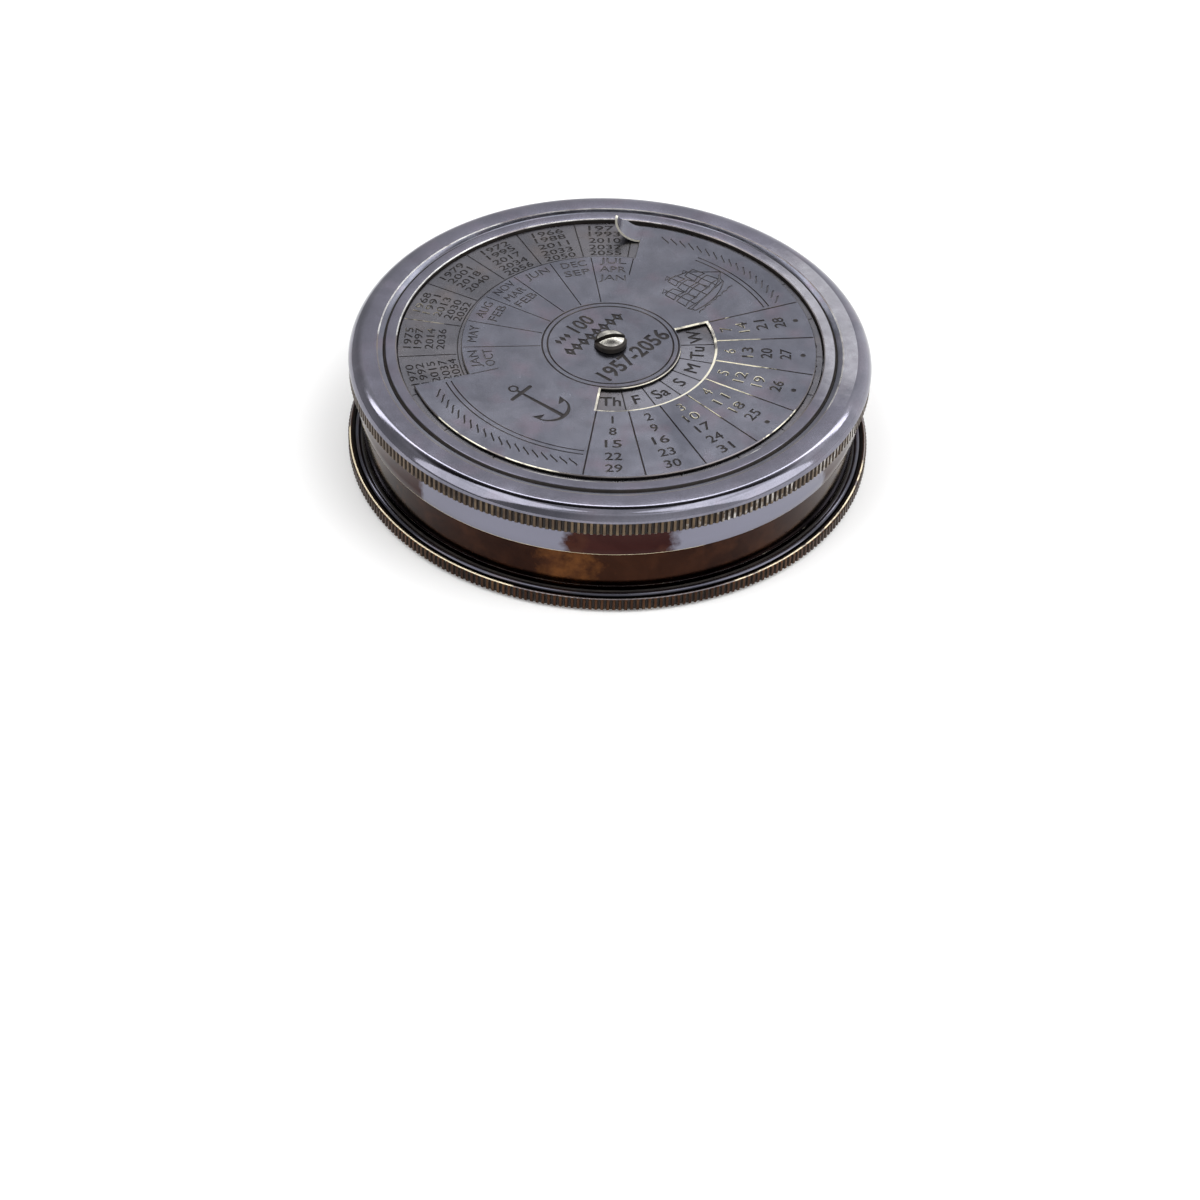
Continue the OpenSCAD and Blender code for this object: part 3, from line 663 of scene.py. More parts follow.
def lettering(text, bold):
    """Outline loops of generic lettering, one unit high, centred."""
    curve = bpy.data.curves.new("lettering", "FONT")
    curve.body = text
    curve.resolution_u = 3
    curve.fill_mode = "NONE"
    obj = link_new("lettering", curve)
    graph = bpy.context.evaluated_depsgraph_get()
    mesh = obj.evaluated_get(graph).to_mesh()
    points = np.array([v.co[:2] for v in mesh.vertices])
    joined = {tuple(sorted(edge.vertices)) for edge in mesh.edges}
    obj.evaluated_get(graph).to_mesh_clear()
    bpy.data.objects.remove(obj)
    bpy.data.curves.remove(curve)
    loops = np.split(points, [i for i in range(1, len(points)) if (i - 1, i) not in joined])
    starts, ends = loop_edges(loops)
    bolder = []
    for loop in loops:
        way = loop[1] - loop[0]
        way /= np.linalg.norm(way)
        probe = (loop[0] + loop[1]) / 2 + 0.004 * np.array([-way[1], way[0]])
        filled_left = inside(probe[None], starts, ends)[0]
        bolder.append(inset(loop, -bold if filled_left else bold))
    centre = np.array([(starts[:, 0].min() + starts[:, 0].max()) / 2, 0.35])
    return [(loop - centre) / 0.7 for loop in bolder]


def word(text, height, at, facing, width, bold):
    """Loops of lettering at a place, with the letters' tops in the direction of facing."""
    loops = lettering(text, bold)
    span = max(loop[:, 0].max() for loop in loops) * 2
    wide = width / span if width else height
    return [turn(loop * [wide, height], facing - 90) + at for loop in loops]


def disc_word(text, height, r, degrees, outwards, width, bold):
    """Lettering on a radius, with its tops outwards or inwards."""
    facing = degrees if outwards else degrees + 180
    return word(text, height, polar(r, degrees), facing, width, bold)


def rope(r, a0, a1, height=1.5, pitch=1.4):
    """A border like a laid rope, of slanting strands."""
    count = round(math.radians(abs(a1 - a0)) * r / pitch)
    s = np.linspace(-1, 1, 7)
    middle = np.stack([0.5 * height * s, 0.5 * pitch * np.sin(s * math.pi / 2)], 1)
    half = np.stack([np.zeros(7), 0.14 * pitch * np.sqrt(np.maximum(1 - s * s, 0)) + 0.01], 1)
    strand = np.concatenate([middle - half, (middle + half)[::-1]])
    angles = a0 + (a1 - a0) * (np.arange(count) + 0.5) / count
    return [[turn(strand, a) + polar(r, a)] for a in angles]


def dot(at, radius):
    return [circle_loop(radius, 14) + at]


def lozenge(at, half_width, half_height):
    """A shape of four corners, which point along X and Y."""
    return [np.array([(half_width, 0), (0, half_height), (-half_width, 0),
                      (0, -half_height)]) + at]


def title_ornament():
    """Rows of lozenges and dots that fill the lines over the screw."""
    row = []
    for i in range(8):
        at = (-5.3 + 1.58 * i, 3.3 + 0.04 * i)
        hole = lozenge(at, 0.17, 0.3)[0][::-1]
        row.append(lozenge(at, 0.7, 1.2) + [hole])
        row.append(dot((at[0] + 0.79, at[1]), 0.17))
    row += [lozenge((-4.7 + 1.0 * i, 6.1), 0.42, 0.72) for i in range(3)]
    return row


def anchor():
    """A plain anchor with its ring up, in millimetres."""
    a = np.radians(np.linspace(180, 360, 31))
    swell = 0.5 + 0.5 * np.sin(a) ** 2
    outer = np.stack([3.0 * np.cos(a), 3.0 * np.sin(a) - 2.0], 1)
    inner = np.stack([(3.0 - 0.5 * swell) * np.cos(a), (3.0 - 0.62 * swell) * np.sin(a) - 2.0], 1)
    figure = [[np.concatenate([outer, inner[::-1]])],
              [loop + [0, 4.85] for loop in ring_loops(0.62, 0.3, 24)],
              [np.array([[-0.2, 4.1], [-0.34, -4.5], [0.34, -4.5], [0.2, 4.1]])],
              stroke([[-2.1, 3.35], [0, 3.35], [2.1, 3.35]], 0.62)]
    for side in (1, -1):
        fluke = np.array([[3.1, -1.3], [1.55, -2.35], [2.2, -2.5], [2.95, -2.5]]) * [side, 1]
        figure.append([fluke[::-side]])
    return figure


def ship():
    """A plain three-masted sailing ship, about 10 units long, drawn in lines."""
    t = np.linspace(0, 1, 9)
    keel = np.stack([-4.2 + 8.6 * t, -3.6 - 0.5 * np.sin(t * math.pi) + 0.9 * t ** 3], 1)
    rail = np.stack([-4.6 + 9.4 * t, -2.3 - 0.45 * np.sin(t * math.pi) + 0.5 * t ** 3], 1)
    lines = [keel, rail, [keel[0], rail[0]], [keel[-1], rail[-1]], [rail[-1], [6.2, -0.9]],
             [[-4.3, -2.9], [4.4, -2.55]]]
    for x, top, spans in ((-2.9, 2.6, (1.5, 1.25)), (0.1, 4.2, (1.9, 1.6, 1.2)),
                          (3.0, 3.1, (1.5, 1.3))):
        lines.append([[x, -2.5], [x, top]])
        step = (top + 2.0) / len(spans)
        for i, half in enumerate(spans):
            low, high = -1.8 + i * step, -1.8 + (i + 0.8) * step
            s = np.linspace(-1, 1, 7)
            foot = np.stack([x + half * s, low + 0.3 * (1 - s * s)], 1)
            head = np.stack([x + half * 0.82 * s, high + 0.12 * (1 - s * s)], 1)
            lines += [foot, head, [foot[0], head[0]], [foot[-1], head[-1]]]
        lines.append([[x, top], [x - 1.0, top + 0.35], [x, top + 0.7], [x, top]])
    lines += [[[6.2, -0.9], [3.0, 3.1]], [[3.9, -2.2], [5.4, -1.2]], [[3.0, 3.1], [0.1, 4.2]]]
    for x in np.arange(-4.4, 4.6, 1.5):
        s = np.linspace(0, 1, 5)
        lines.append(np.stack([x + 1.3 * s, -4.4 + 0.25 * np.sin(s * math.pi)], 1))
    return [stroke(line, 0.22) for line in lines]


def placed(figure, scale, at, facing):
    """A figure scaled, turned and moved. facing is the direction of its top."""
    return [[turn(loop * scale, facing - 90) + at for loop in shape] for shape in figure]


def years_of(day, share):
    """A third of the years 1957 to 2056 that have one weekday on the first of March."""
    years = [y for y in range(1957, 2057) if (y + y // 4 - y // 100 + y // 400) % 7 == day]
    return years[share::3]


# The year plate with its years and weekdays

YEAR_LINES = 101.6
DAY_LINES = -80.2
YEAR_ROWS = (29.9, 28.4, 26.7, 25.0, 23.5)
YEAR_RING_R, DAY_R = 22.55, 12.8
WEEKDAYS = "Th F Sa S M Tu W".split()


def year_plate():
    """The plate in the recess, with the weekdays inside and the years outside."""
    lines = [ring_loops(YEAR_RING_R, 0.16)]
    signs = []
    for k in range(21):
        lines.append(radial(22.75, PLATE_R - 0.25, YEAR_LINES + COLUMN * k, 0.18))
        lines.append(radial(WINDOW_IN - 0.5, WINDOW_OUT + 0.5, DAY_LINES + COLUMN * k, 0.2))
        middle = YEAR_LINES + COLUMN * (k - 0.5)
        years = years_of((k + 5) % 7, (k + 12) // 7 % 3)
        for year, r in zip(years, YEAR_ROWS):
            signs.append(disc_word(str(year), 1.2, r, middle, True, 4.9, 0.008))
        signs.append(disc_word(WEEKDAYS[k % 7], 2.0, DAY_R, DAY_LINES + COLUMN * (k - 0.5),
                               False, None, 0.02))
    outline = [(circle_loop(PLATE_R), 0.12, EDGE), (circle_loop(1.3, 48)[::-1], 0.1, EDGE)]
    return engraved("year_plate_engraved", outline,
                    [(lines, FLOOR, YEAR_BANK), (signs, FLOOR, YEAR_BANK)],
                    # the plate's sides are black painted shade
                    PLATE_TOP, PLATE_Z, PLATE_PATINA_PAINTED_LIGHT, PAINTED_SHADE, bank=0.035)


plate = year_plate()
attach(plate, "lid")
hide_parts("year_plate")


# The calendar disc with its months, dates, window and figures

READING = 51.0
BEVEL_OUT, BEVEL_END = 0.36, 0.3
DATE_ROWS = (17.6, 20.2, 23.0, 25.8, 28.4)
MONTHS = ("JUL APR JAN", "DEC SEP", "JUN", "NOV MAR FEB", "AUG FEB", "MAY", "JAN OCT")
TITLE_RINGS = (10.1, 9.3)
MONTHS_IN, MONTH_ENDS_IN = 10.4, YEARS_R - 4.5
BORDER_LINES, ROPE_R = (25.0, 25.8), 27.7


def disc_outline():
    """The disc's rim with the gap over the years, its window and its hole."""
    rim = np.array(sweep(DISC_R, YEARS_TO - 360, YEARS_FROM)
                   + sweep(YEARS_R, YEARS_FROM, YEARS_TO))
    outer = sweep(WINDOW_OUT, WINDOW_TO, WINDOW_FROM, 1.5)
    inner = sweep(WINDOW_IN, WINDOW_FROM, WINDOW_TO, 2.0)
    ends = [BEVEL_END]
    widths = [BEVEL_OUT] * (len(outer) - 1) + ends + [0.06] * (len(inner) - 1) + ends
    return [(rim, 0.12, DISC_EDGE), (np.array(outer + inner), widths, WINDOW_EDGE),
            (circle_loop(1.65, 48)[::-1], 0.08, DISC_EDGE)]


def disc_lines():
    """The rings round the title, and the lines between columns and borders."""
    lines = [ring_loops(r, 0.26) for r in TITLE_RINGS]
    for k in range(8):
        start = MONTHS_IN if 0 < k < 7 else MONTH_ENDS_IN
        lines.append(radial(start, YEARS_R - 0.3, YEARS_FROM + 0.4 + COLUMN * k, 0.16))
        at = WINDOW_FROM + COLUMN * k + (0.25 if k == 0 else -0.25 if k == 7 else 0)
        lines.append(radial(WINDOW_OUT + BEVEL_OUT + 0.12, DISC_R - 0.25, at, 0.24))
    for r in BORDER_LINES:
        lines += [arc_band(r, 0.2, 203.3, 262.6), arc_band(r, 0.2, 24.4, 60)]
    return lines


def faint_signs():
    """The months, the ship and the border beside it, which are worn shallow."""
    signs = rope(ROPE_R, 25.2, 75.0) + placed(ship(), 0.98, polar(18.8, 50.0), 145)
    for c, column in enumerate(MONTHS):
        names = column.split()
        for i, month in enumerate(names):
            r = 20.8 - 2.15 * i - (0.4 if len(names) < 3 else 0)
            signs.append(disc_word(month, 1.4, r, YEARS_FROM + COLUMN * (c + 0.5), True, 4.0,
                                   0.01))
    return signs


def clear_signs():
    """The dates, the title, the anchor and the border beside it."""
    signs = []
    for c in range(7):
        at = WINDOW_FROM + COLUMN * (c + 0.5)
        for i, r in enumerate(DATE_ROWS):
            date = c + 1 + 7 * i
            if date <= 31:
                signs.append(disc_word(str(date), 1.65, r, at, False,
                                       2.45 if date > 9 else None, 0.016))
        if c > 2:
            signs.append(dot(polar(DATE_ROWS[4], at), 0.4))
    for text, height, width, place, bold in (("100", 2.45, 4.1, (0.85, 6.5), 0.02),
                                             ("1957-2056", 2.7, 14.4, (0.4, -4.05), 0.026)):
        at = turn(np.array(place), READING)
        signs.append(word(text, height, at, READING + 91, width, bold))
    signs += placed(title_ornament(), 1.0, (0, 0), READING + 90)
    signs += rope(ROPE_R, 206.0, 261.6)
    signs += placed(anchor(), 1.0, polar(17.4, 234.8), 142)
    return signs


disc = engraved("calendar_disc_engraved", disc_outline(),
                [(disc_lines(), LINE, BANK), (clear_signs(), FLOOR, BANK),
                 (faint_signs(), FAINT, BANK)],
                # the disc's sides are black painted shade
                DISC_TOP, DISC_Z, DIAL, PAINTED_SHADE, bank=0.05)
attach(disc, "calendar")
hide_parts("calendar_disc")


TAB_LEAD, TAB_CURL, TAB_REACH = 0.35, 3.2 + DISC_T / 2, 6.3
TAB_HALF, TAB_CORNER = 1.8, 0.4
SLANT_FROM, SLANT = 2.9, 0.95


def tab_sides(s):
    """Where the tab's two long edges stand across it, at a length from its root."""
    near, far = -TAB_HALF, TAB_HALF - SLANT * max(s - SLANT_FROM, 0.0)
    if s > TAB_REACH - TAB_CORNER:
        over = (s - TAB_REACH + TAB_CORNER) / TAB_CORNER
        near += TAB_CORNER * (1 - math.sqrt(max(1 - over ** 2, 0.0)))
    return near, max(far, near + 0.02)


def tab_place(s):
    """Middle (y, z) and thickness direction (y, z) of the tab at a length from its root."""
    if s <= TAB_LEAD:
        return s, 0.0, 0.0, 1.0
    a = (s - TAB_LEAD) / TAB_CURL
    return (TAB_LEAD + TAB_CURL * math.sin(a), TAB_CURL * (1 - math.cos(a)),
            -math.sin(a), math.cos(a))


def finger_tab():
    """The tongue that is cut loose from the disc and curled up and back."""
    middle_r = DISC_R - 2.0
    straight_end = TAB_REACH - TAB_CORNER
    stations = [-0.6, -0.17, -0.15, 0.0, *np.linspace(0.2, straight_end, 26)]
    stations += [straight_end + TAB_CORNER * math.sin(a) for a in np.linspace(0.25, 1.5, 7)]
    verts = []
    for s in stations:
        near, far = tab_sides(s)
        y, z, ny, nz = tab_place(s)
        thick = DISC_T / 2 - (0.02 if s < -0.16 else 0.0)
        for side, w in ((-1, near), (-1, far), (1, far), (1, near)):
            verts.append((middle_r + w, y + side * ny * thick,
                          DISC_Z + DISC_T / 2 + z + side * nz * thick))
    faces = tube_faces(len(stations), 4)
    indices = [0, 0, 0, 1] * (len(stations) - 1) + [0, 1]
    points = np.array(verts)
    points[:, :2] = turn(points[:, :2], YEARS_FROM)
    tab = add_object("finger_tab", points, faces, indices, [DIAL, WORN], [True] * len(faces))
    rework(tab, face_out)
    bevel(tab, 0.05, 40).harden_normals = True
    return tab


tab = finger_tab()
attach(tab, "calendar")


# The lid

TOOTH = 0.25
BULGE_R, BULGE_CR = 2.1, LID_R - 2.1
RIM_EDGE_R = 36.5
BULGE_CZ = LID_TOP - math.sqrt(BULGE_R ** 2 - (RIM_EDGE_R - BULGE_CR) ** 2)
KNURL_R, KNURL_Z, KNURL_TOP = LID_R - 0.1, 14.15, 16.3
BULGE_FROM = math.degrees(math.asin((KNURL_TOP - BULGE_CZ) / BULGE_R)) + 1
WEB_R, WEB_Z, RECESS_Z = 1.3, 15.1, 16.7
CROWN_R, CROWN_Z, LID_BORE = 31.7, 13.25, 35.4
lid = turned("lid_turned", [
    RIM_PATINA_PAINTED_LIGHT, (WEB_R, WEB_Z), (CROWN_R, WEB_Z), (CROWN_R, CROWN_Z),
    BRASS, (LID_BORE, CROWN_Z), EDGE, (LID_BORE, LID_Z),
    SKIRT_EDGE, (37.22, LID_Z), (37.3, LID_Z + 0.03), (37.47, LID_Z + 0.2),
    SKIRT_PATINA_PAINTED_REFLECTION, (SKIRT_R, LID_Z + 0.27), (SKIRT_R, LID_Z + 1.4),
    # painted shade under the knurl's overhang
    PAINTED_SHADE, (SKIRT_R, KNURL_Z - 0.15), (SKIRT_R + 0.05, KNURL_Z),
    EDGE, (KNURL_R - TOOTH - 0.02, KNURL_Z), (KNURL_R - 0.06, KNURL_Z, 0.18),
    TEETH, (KNURL_R, KNURL_Z + 0.12, TOOTH), (KNURL_R, KNURL_TOP - 0.2, TOOTH),
    # painted shade where the knurl meets the bulge
    PAINTED_SHADE, (KNURL_R + 0.03, KNURL_TOP - 0.03, 0.06),
    BULGE, (LID_R - 0.045, KNURL_TOP), *arc(BULGE_CR, BULGE_CZ, BULGE_R, BULGE_FROM, 85, 26),
    RIM_PATINA_PAINTED_LIGHT, (RIM_EDGE_R, LID_TOP),
    GROOVE_EDGE, (34.45, LID_TOP), (34.34, LID_TOP - 0.015),
    DIAL, (34.24, LID_TOP - 0.05), (33.78, LID_TOP - 0.12),
    # painted shade in the bottom of the groove
    PAINTED_SHADE, (33.5, LID_TOP - 0.28), (33.38, LID_TOP - 0.4), (33.3, LID_TOP - 0.4),
    RIM_PATINA_PAINTED_LIGHT, (33.14, LID_TOP - 0.06), (33.08, LID_TOP),
    LIP, (RECESS_R + 0.2, LID_TOP), (RECESS_R + 0.05, LID_TOP - 0.03),
    # painted shade on the recess wall
    PAINTED_SHADE, (RECESS_R, LID_TOP - 0.1), RIM_PATINA_PAINTED_LIGHT, (RECESS_R, RECESS_Z), (WEB_R, RECESS_Z),
], 268, FLANK, GAP)
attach(lid, "lid")
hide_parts("lid_shell")


# The case and its base cap

CASE_BORE, THREAD_R, NECK_Z = 33.5, 34.85, 9.45
case = turned("case_turned", [
    WALL_PATINA_PAINTED_REFLECTION, (CASE_BORE, CASE_Z), (38.0, CASE_Z), BEAD, *arc(37.55, 2.05, 0.45, 0, 175, 18),
    # painted shade in the hollow between the bead and the wall
    PAINTED_SHADE, (37.05, 2.1), (WALL_R + 0.08, 2.16), WALL_PATINA_PAINTED_REFLECTION, (WALL_R, 2.3), EDGE, (WALL_R, 3.1),
    WALL_PATINA_PAINTED_REFLECTION, (WALL_R, 3.17), (WALL_R, 5.0), (WALL_R, 7.0),
    BRASS, (WALL_R, 9.3), (WALL_R - 0.12, NECK_Z), (THREAD_R, NECK_Z), (THREAD_R, 12.95),
    (34.7, CASE_TOP), (CASE_BORE, CASE_TOP),
], segments=480)
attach(case, "case")
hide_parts("case_ring")

RIDGE, PITCH, THREAD_TURNS = 0.43, 0.9, 3


def thread(steps=180, run_out=40):
    """A helical ridge that fades out at both ends."""
    section = ((-0.02, -0.46), (1.0, -0.1), (1.0, 0.1), (-0.02, 0.46))
    verts = []
    count = THREAD_TURNS * steps
    for i in range(count + 1):
        a = i * TAU / steps
        fade = min(1.0, i / run_out, (count - i) / run_out)
        for across, up in section:
            r = THREAD_R + (RIDGE * fade if across > 0 else RIDGE * across)
            verts.append((r * math.cos(a), r * math.sin(a),
                          NECK_Z + 0.5 + PITCH * (i / steps + up)))
    faces = tube_faces(count + 1, 4)
    ridge = add_object("case_thread", verts, faces, [0] * len(faces), [BRASS])
    rework(ridge, face_out)
    return ridge


ridge = thread()
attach(ridge, "case")

CAP_IN, CAP_FLOOR, CAP_INSIDE = 0.8, 0.3, 1.4
cap = turned("base_cap_turned", [
    WALL_PATINA_PAINTED_REFLECTION, (CAP_IN, CAP_FLOOR), (32.95, CAP_FLOOR), (33.05, 0.05),
    EDGE, (33.2, 0), (38.15, 0), WALL_PATINA_PAINTED_REFLECTION, (38.55, 0.35), (38.62, 0.5),
    CAP_TEETH, (CAP_R, 0.5, TOOTH), (CAP_R, 2.1, TOOTH), (38.93, 2.25, 0.12),
    CAP_EDGE, (38.84, 2.33), (38.72, 2.39), WALL_PATINA_PAINTED_REFLECTION, (38.64, 2.4),
    # painted shade on the cap's top face and inside
    PAINTED_SHADE, (38.5, 2.4), (38.1, 2.0), (38.1, CAP_INSIDE), (CAP_IN, CAP_INSIDE),
], 288, FLANK, GAP)
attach(cap, "case")
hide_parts("base_cap")


# The centre screw

SCREW_LOW, SCREW_TOP = node_z("pivot_screw")
HEAD_R, HEAD_Z, HEAD_SIDE, DOME = 2.4, DISC_TOP + 0.05, 0.85, 0.75
DOME_R = (HEAD_R ** 2 + DOME ** 2) / (2 * DOME)
SHANK_R, SHOULDER_R, SHOULDER_Z = 1.25, 1.6, PLATE_TOP + 0.05
SLOT_HALF, SLOT_DEPTH, SLOT_TURN = 0.45, 1.1, 18
AXIS_R = 0.001


def slot_cutter():
    """A bar that cuts the screw's slot and gives the slot's faces its black painted shade."""
    reach = HEAD_R + 0.8
    corners = [(-reach, -SLOT_HALF), (reach, -SLOT_HALF), (reach, SLOT_HALF), (-reach, SLOT_HALF)]
    points = [(*turn(np.array(corner), SLOT_TURN), z)
              for z in (SCREW_TOP - SLOT_DEPTH, SCREW_TOP + 1) for corner in corners]
    return add_object("slot_cut", points, tube_faces(2, 4), [1] * 6, [STEEL, PAINTED_SHADE])


def centre_screw():
    """The slotted screw, with its dome, shoulder and shank."""
    side_top = HEAD_Z + HEAD_SIDE
    dome_from = math.degrees(math.acos(HEAD_R / DOME_R)) + 7
    profile = [
        STEEL, (AXIS_R, SCREW_LOW), (SHANK_R - 0.2, SCREW_LOW), (SHANK_R, SCREW_LOW + 0.2),
        (SHANK_R, SHOULDER_Z), (SHOULDER_R, SHOULDER_Z), (SHOULDER_R, HEAD_Z),
        # painted shade on the underside and side of the head
        PAINTED_SHADE, (HEAD_R - 0.1, HEAD_Z), (HEAD_R, HEAD_Z + 0.1), (HEAD_R, side_top - 0.12),
        (HEAD_R - 0.05, side_top), (HEAD_R - 0.22, side_top + 0.02),
        HEAD, *arc(0, SCREW_TOP - DOME_R, DOME_R, dome_from, 90, 14)[:-1], (AXIS_R, SCREW_TOP),
    ]
    screw = turned("centre_screw_turned", profile, segments=96, crisp=12)
    cutter = slot_cutter()
    cut = screw.modifiers.new("slot", "BOOLEAN")
    cut.operation = "DIFFERENCE"
    cut.object = cutter
    cut.solver = "EXACT"
    graph = bpy.context.evaluated_depsgraph_get()
    screw.data = bpy.data.meshes.new_from_object(screw.evaluated_get(graph))
    screw.modifiers.clear()
    bpy.data.objects.remove(cutter)
    bevel(screw, 0.05, 35)
    return screw


screw = centre_screw()
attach(screw, "centre_screw")
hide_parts("pivot_screw")


# The compass card, the needle and what holds them

PAPER = matt("card_paper", (0.74, 0.69, 0.55), (0.66, 0.6, 0.46), 0.6, scale=260)
INK = matt("card_ink", (0.025, 0.025, 0.03), (0.05, 0.045, 0.045), 0.5)
BLUED = plain_metal("blued_steel", (0.03, 0.05, 0.16), (0.05, 0.08, 0.22), 0.25, 0.1)
RUBBER = matt("gasket_rubber", (0.02, 0.02, 0.02), (0.03, 0.03, 0.03), 0.7)
GLASS = clear_glass("crystal_glass")
CARD_Z, CARD_TOP = node_z("compass_card")
CARD_R, CARD_BEVEL = 33.35, 0.02
# Length, waist radius and swing of the star's points, by how often they come
STAR = {4: (21.0, 4.2, 45.0), 2: (16.0, 4.4, 22.5), 1: (11.5, 4.6, 11.25)}


def card_figures():
    """Rings, a line for each five degrees, a star of sixteen points and four letters."""
    figures = [ring_loops(27.6, 0.25), ring_loops(24.6, 0.18), ring_loops(10.5, 0.15, 120)]
    for i in range(72):
        figures.append(radial(24.9 if i % 2 else 25.6, 27.4, i * 5 + 0.001, 0.16))
    for i in range(16):
        a = i * 22.5
        length, waist, swing = STAR[math.gcd(i, 4)]
        tip, corner, other = polar(length, a), polar(waist, a - swing), polar(waist, a + swing)
        figures.append([np.array([polar(3.4, a), corner, tip])])
        figures += [stroke([other, tip], 0.1), stroke([corner, tip], 0.1)]
    for text, a in (("N", 90), ("E", 0), ("S", 270), ("W", 180)):
        figures.append(word(text, 2.3, polar(22.75, a), 90, None, 0.02))
    return figures


card = engraved("compass_card_printed",
                [(circle_loop(CARD_R), CARD_BEVEL, PAPER),
                 (circle_loop(1.55, 48)[::-1], CARD_BEVEL, PAPER)],
                [(card_figures(), INK, INK)], CARD_TOP, CARD_Z, PAPER, PAPER,
                bank=0.0, depth=0.02, drop=CARD_BEVEL)
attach(card, "case")
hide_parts("compass_card")


def needle():
    """A lozenge needle with a raised ridge, blued on its north arm."""
    low, high = node_z("needle_blade")
    half, reach = (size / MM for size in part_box("needle_blade")[1][:2])
    tip, boss, rim, ridge_end = 0.35, 2.3, high - 0.16, high - 0.1
    plan = ((half, 0), (tip, reach), (-tip, reach), (-half, 0), (-tip, -reach), (tip, -reach))
    verts = [(x, y, z) for z in (rim, low) for x, y in plan]
    verts += [(0, reach - 0.5, ridge_end), (0, boss, high), (boss, 0, high), (0, -boss, high),
              (-boss, 0, high), (0, 0.5 - reach, ridge_end)]
    north, n_in, e_in, s_in, w_in, south = range(12, 18)
    faces = [(0, 1, north, n_in, e_in), (1, 2, north), (2, 3, w_in, n_in, north),
             (3, 4, south, s_in, w_in), (4, 5, south), (5, 0, e_in, s_in, south),
             (n_in, w_in, s_in, e_in)]
    faces += [(i, i + 6, (i + 1) % 6 + 6, (i + 1) % 6) for i in range(6)]
    faces.append(tuple(range(11, 5, -1)))
    indices = [0] * 3 + [1] * 4 + [0] * 3 + [1] * 4
    blade = add_object("needle_polished", verts, faces, indices, [BLUED, STEEL])
    rework(blade, face_out)
    bevel(blade, 0.04, 30)
    return blade


blade = needle()
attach(blade, "needle")
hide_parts("needle_blade")


def degree_scale():
    """Brass with a black scale of degrees on its slope, drawn by angle."""
    m = Surface("degree_scale")
    x, y, z = m.split(m.coord)
    turns = m.math("DIVIDE", m.math("ARCTAN2", y, x), TAU)
    ink = 0.0
    for count, width, low in ((180, 0.15, 7.6), (36, 0.05, 6.2)):
        phase = m.math("FRACT", m.math("ADD", m.times(turns, count), 100.5))
        off = m.math("ABSOLUTE", m.math("SUBTRACT", phase, 0.5))
        line = m.times(m.math("LESS_THAN", off, width), m.math("GREATER_THAN", z, low * MM))
        line = m.times(line, m.math("LESS_THAN", z, 8.9 * MM))
        ink = m.math("MAXIMUM", ink, line)
    tone = m.mix(m.noise(220, 4), *BRASS_TONES)
    m.set(Base_Color=m.mix(ink, tone, (0.02, 0.018, 0.015)), Roughness=0.32,
          Metallic=m.math("SUBTRACT", 1.0, m.times(ink, 0.8)))
    m.bump(m.turning_marks(8000), 0.2, 0.02)
    return m.mat


ring_low, ring_high = node_z("degree_ring")
degrees = turned("degree_ring_scaled", [
    degree_scale(), (CARD_R, ring_low), (CARD_R, ring_high), (31.25, ring_high),
    (31.12, ring_high - 0.08), (29.2, ring_low + 0.95), (29.15, ring_low + 0.85),
    (29.15, ring_low)])
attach(degrees, "case")
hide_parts("degree_ring")

glass_low, glass_high = node_z("crystal")
glass = turned("crystal_ground", [
    GLASS, (AXIS_R, glass_low), (33.15, glass_low), (CARD_R, glass_low + 0.2),
    (CARD_R, glass_high - 0.2), (33.15, glass_high), (AXIS_R, glass_high)], segments=240)
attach(glass, "case")
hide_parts("crystal")

for material, nodes in (
        (BRASS, "plate_pins spacer_washer pivot_nut card_screws pivot_boss needle_hub "
                "needle_weight retaining_ring"),
        (STEEL, "lock_washer pivot_pin"), (RUBBER, "crystal_gasket"), (GLASS, "hub_jewel")):
    for node in nodes.split():
        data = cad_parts[node].data
        data.materials.clear()
        data.materials.append(material)


# Stage, light and camera

def flat_floor(reach=1000):
    """A plain pale floor, one metre each way from the middle."""
    m = Surface("pale_floor")
    m.set(Base_Color=(0.9, 0.9, 0.9), Roughness=0.9, Specular_IOR_Level=0.1)
    corners = [(-reach, -reach, 0), (reach, -reach, 0), (reach, reach, 0), (-reach, reach, 0)]
    obj = add_object("floor", corners, [(0, 1, 2, 3)], [0], [m.mat])


def softbox(name, azimuth, elevation, size, radiance, distance=1.2):
    """An area lamp that faces the object. Azimuth 0 is in front and 90 on the right."""
    light = bpy.data.lights.new(name, "AREA")
    light.shape = "RECTANGLE"
    light.size, light.size_y = size
    light.energy = radiance * math.pi * size[0] * size[1]
    obj = link_new(name, light)
    obj.matrix_world = (Matrix.Rotation(math.radians(azimuth), 4, "Z")
                        @ Matrix.Rotation(math.radians(90 - elevation), 4, "X")
                        @ Matrix.Translation((0, 0, distance)))


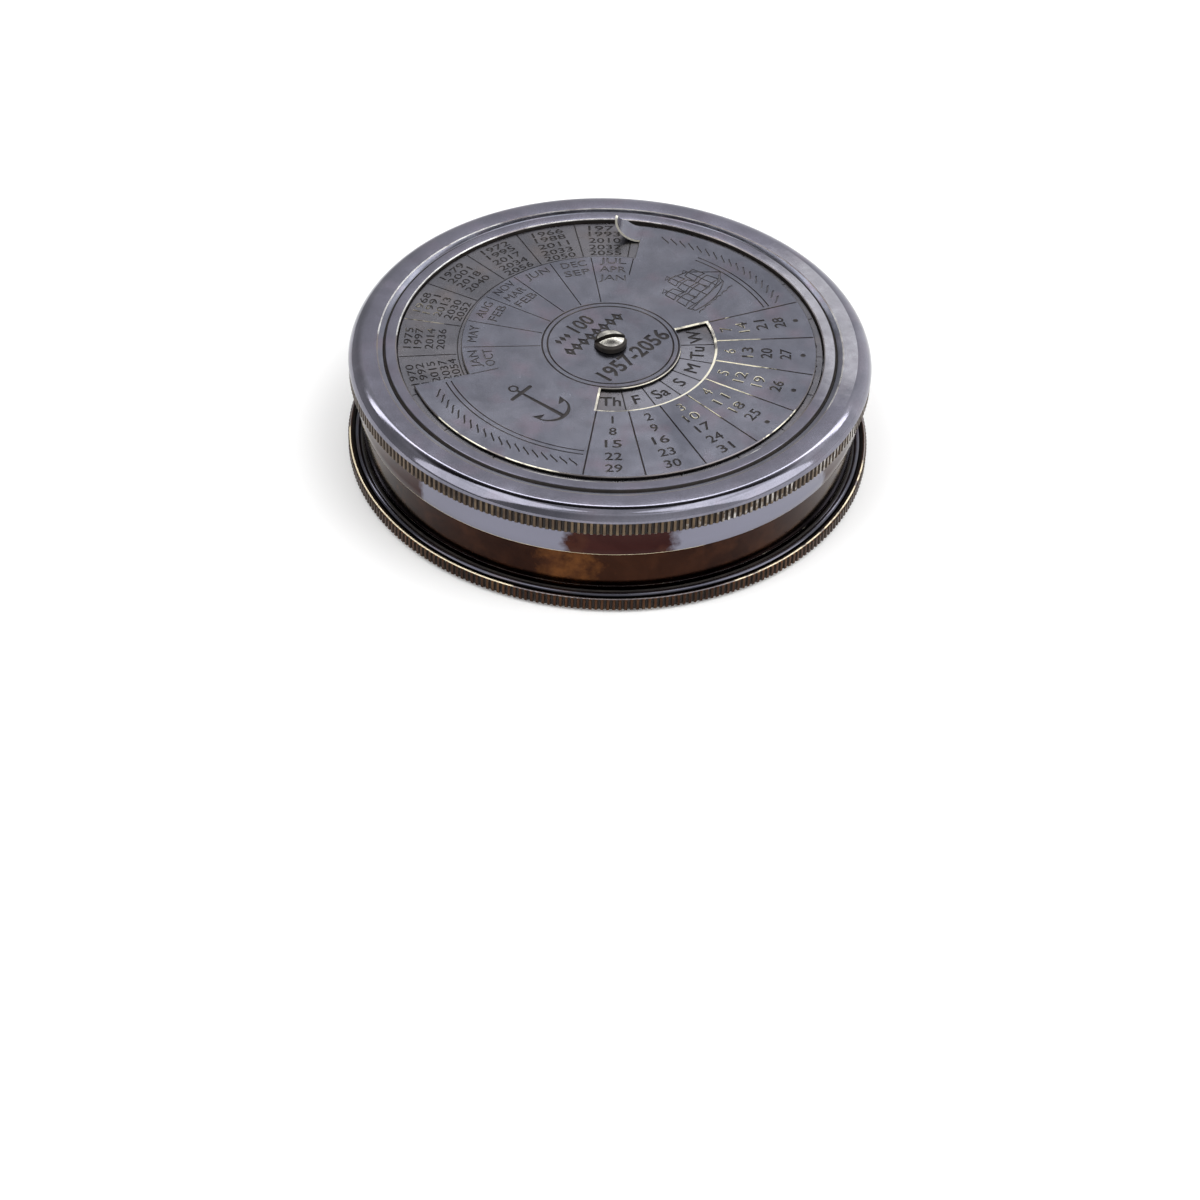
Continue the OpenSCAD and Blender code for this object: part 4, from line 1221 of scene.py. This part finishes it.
# Level of the room by how high, how far back and how far to the right it is
ROOM = ((0.5, 1.2), (0.6, 1.15), (0.8, 1.0), (0.885, 1.2), (0.91, 0.35), (0.932, 0.07),
        (1, 0.03))
FRONT_TO_BACK = ((0.25, 0.72), (0.75, 1.0))
LEFT_TO_RIGHT = ((0.28, 0.5), (0.5, 0.93), (0.65, 1.22))


def sky():
    """A pale room with a dark ceiling, a little dimmer in front and on the left.

    The camera sees plain white in its place.
    """
    world = bpy.data.worlds.new("room")
    scene.world = world
    m = Nodes(world)
    half = m.new("ShaderNodeVectorMath", operation="MULTIPLY_ADD")
    m.link(m.new("ShaderNodeTexCoord").outputs["Generated"], half.inputs[0])
    for number in (1, 2):
        half.inputs[number].default_value = (0.5, 0.5, 0.5)
    x, y, z = m.split(half.outputs[0])
    light = m.ramp(z, ROOM)
    for place, stops in ((x, LEFT_TO_RIGHT), (y, FRONT_TO_BACK)):
        light = m.mix(1.0, light, m.ramp(place, stops), "MULTIPLY")
    seen = m.new("ShaderNodeLightPath").outputs["Is Camera Ray"]
    back = m.filled("ShaderNodeBackground", Color=m.mix(seen, light, (1, 1, 1)))
    m.link(back, m.new("ShaderNodeOutputWorld").inputs[0])


flat_floor()
sky()
softbox("back_strip", 180, 51, (2.0, 0.15), 5.0)
softbox("top_softbox", 0, 74, (1.3, 1.0), 0.9)
softbox("left_softbox", -64, 44, (0.8, 1.6), 2.2)
softbox("right_softbox", 72, 44, (0.8, 1.6), 2.2)

scene.view_settings.view_transform = "Standard"

# The camera as fitted to the photograph, in degrees, millimetres of lens and metres
ELEVATION, ROLL, LENS = 42.181, -1.909, 96.73
PLACE = (-0.0002967, -0.377531, 0.309168)

view = bpy.data.cameras.new("camera")
view.lens = LENS
view.sensor_width = 36
camera = link_new("camera", view)
camera.matrix_world = (Matrix.Translation(PLACE)
                       @ Matrix.Rotation(math.radians(90 - ELEVATION), 4, "X")
                       @ Matrix.Rotation(math.radians(-ROLL), 4, "Z"))
scene.camera = camera
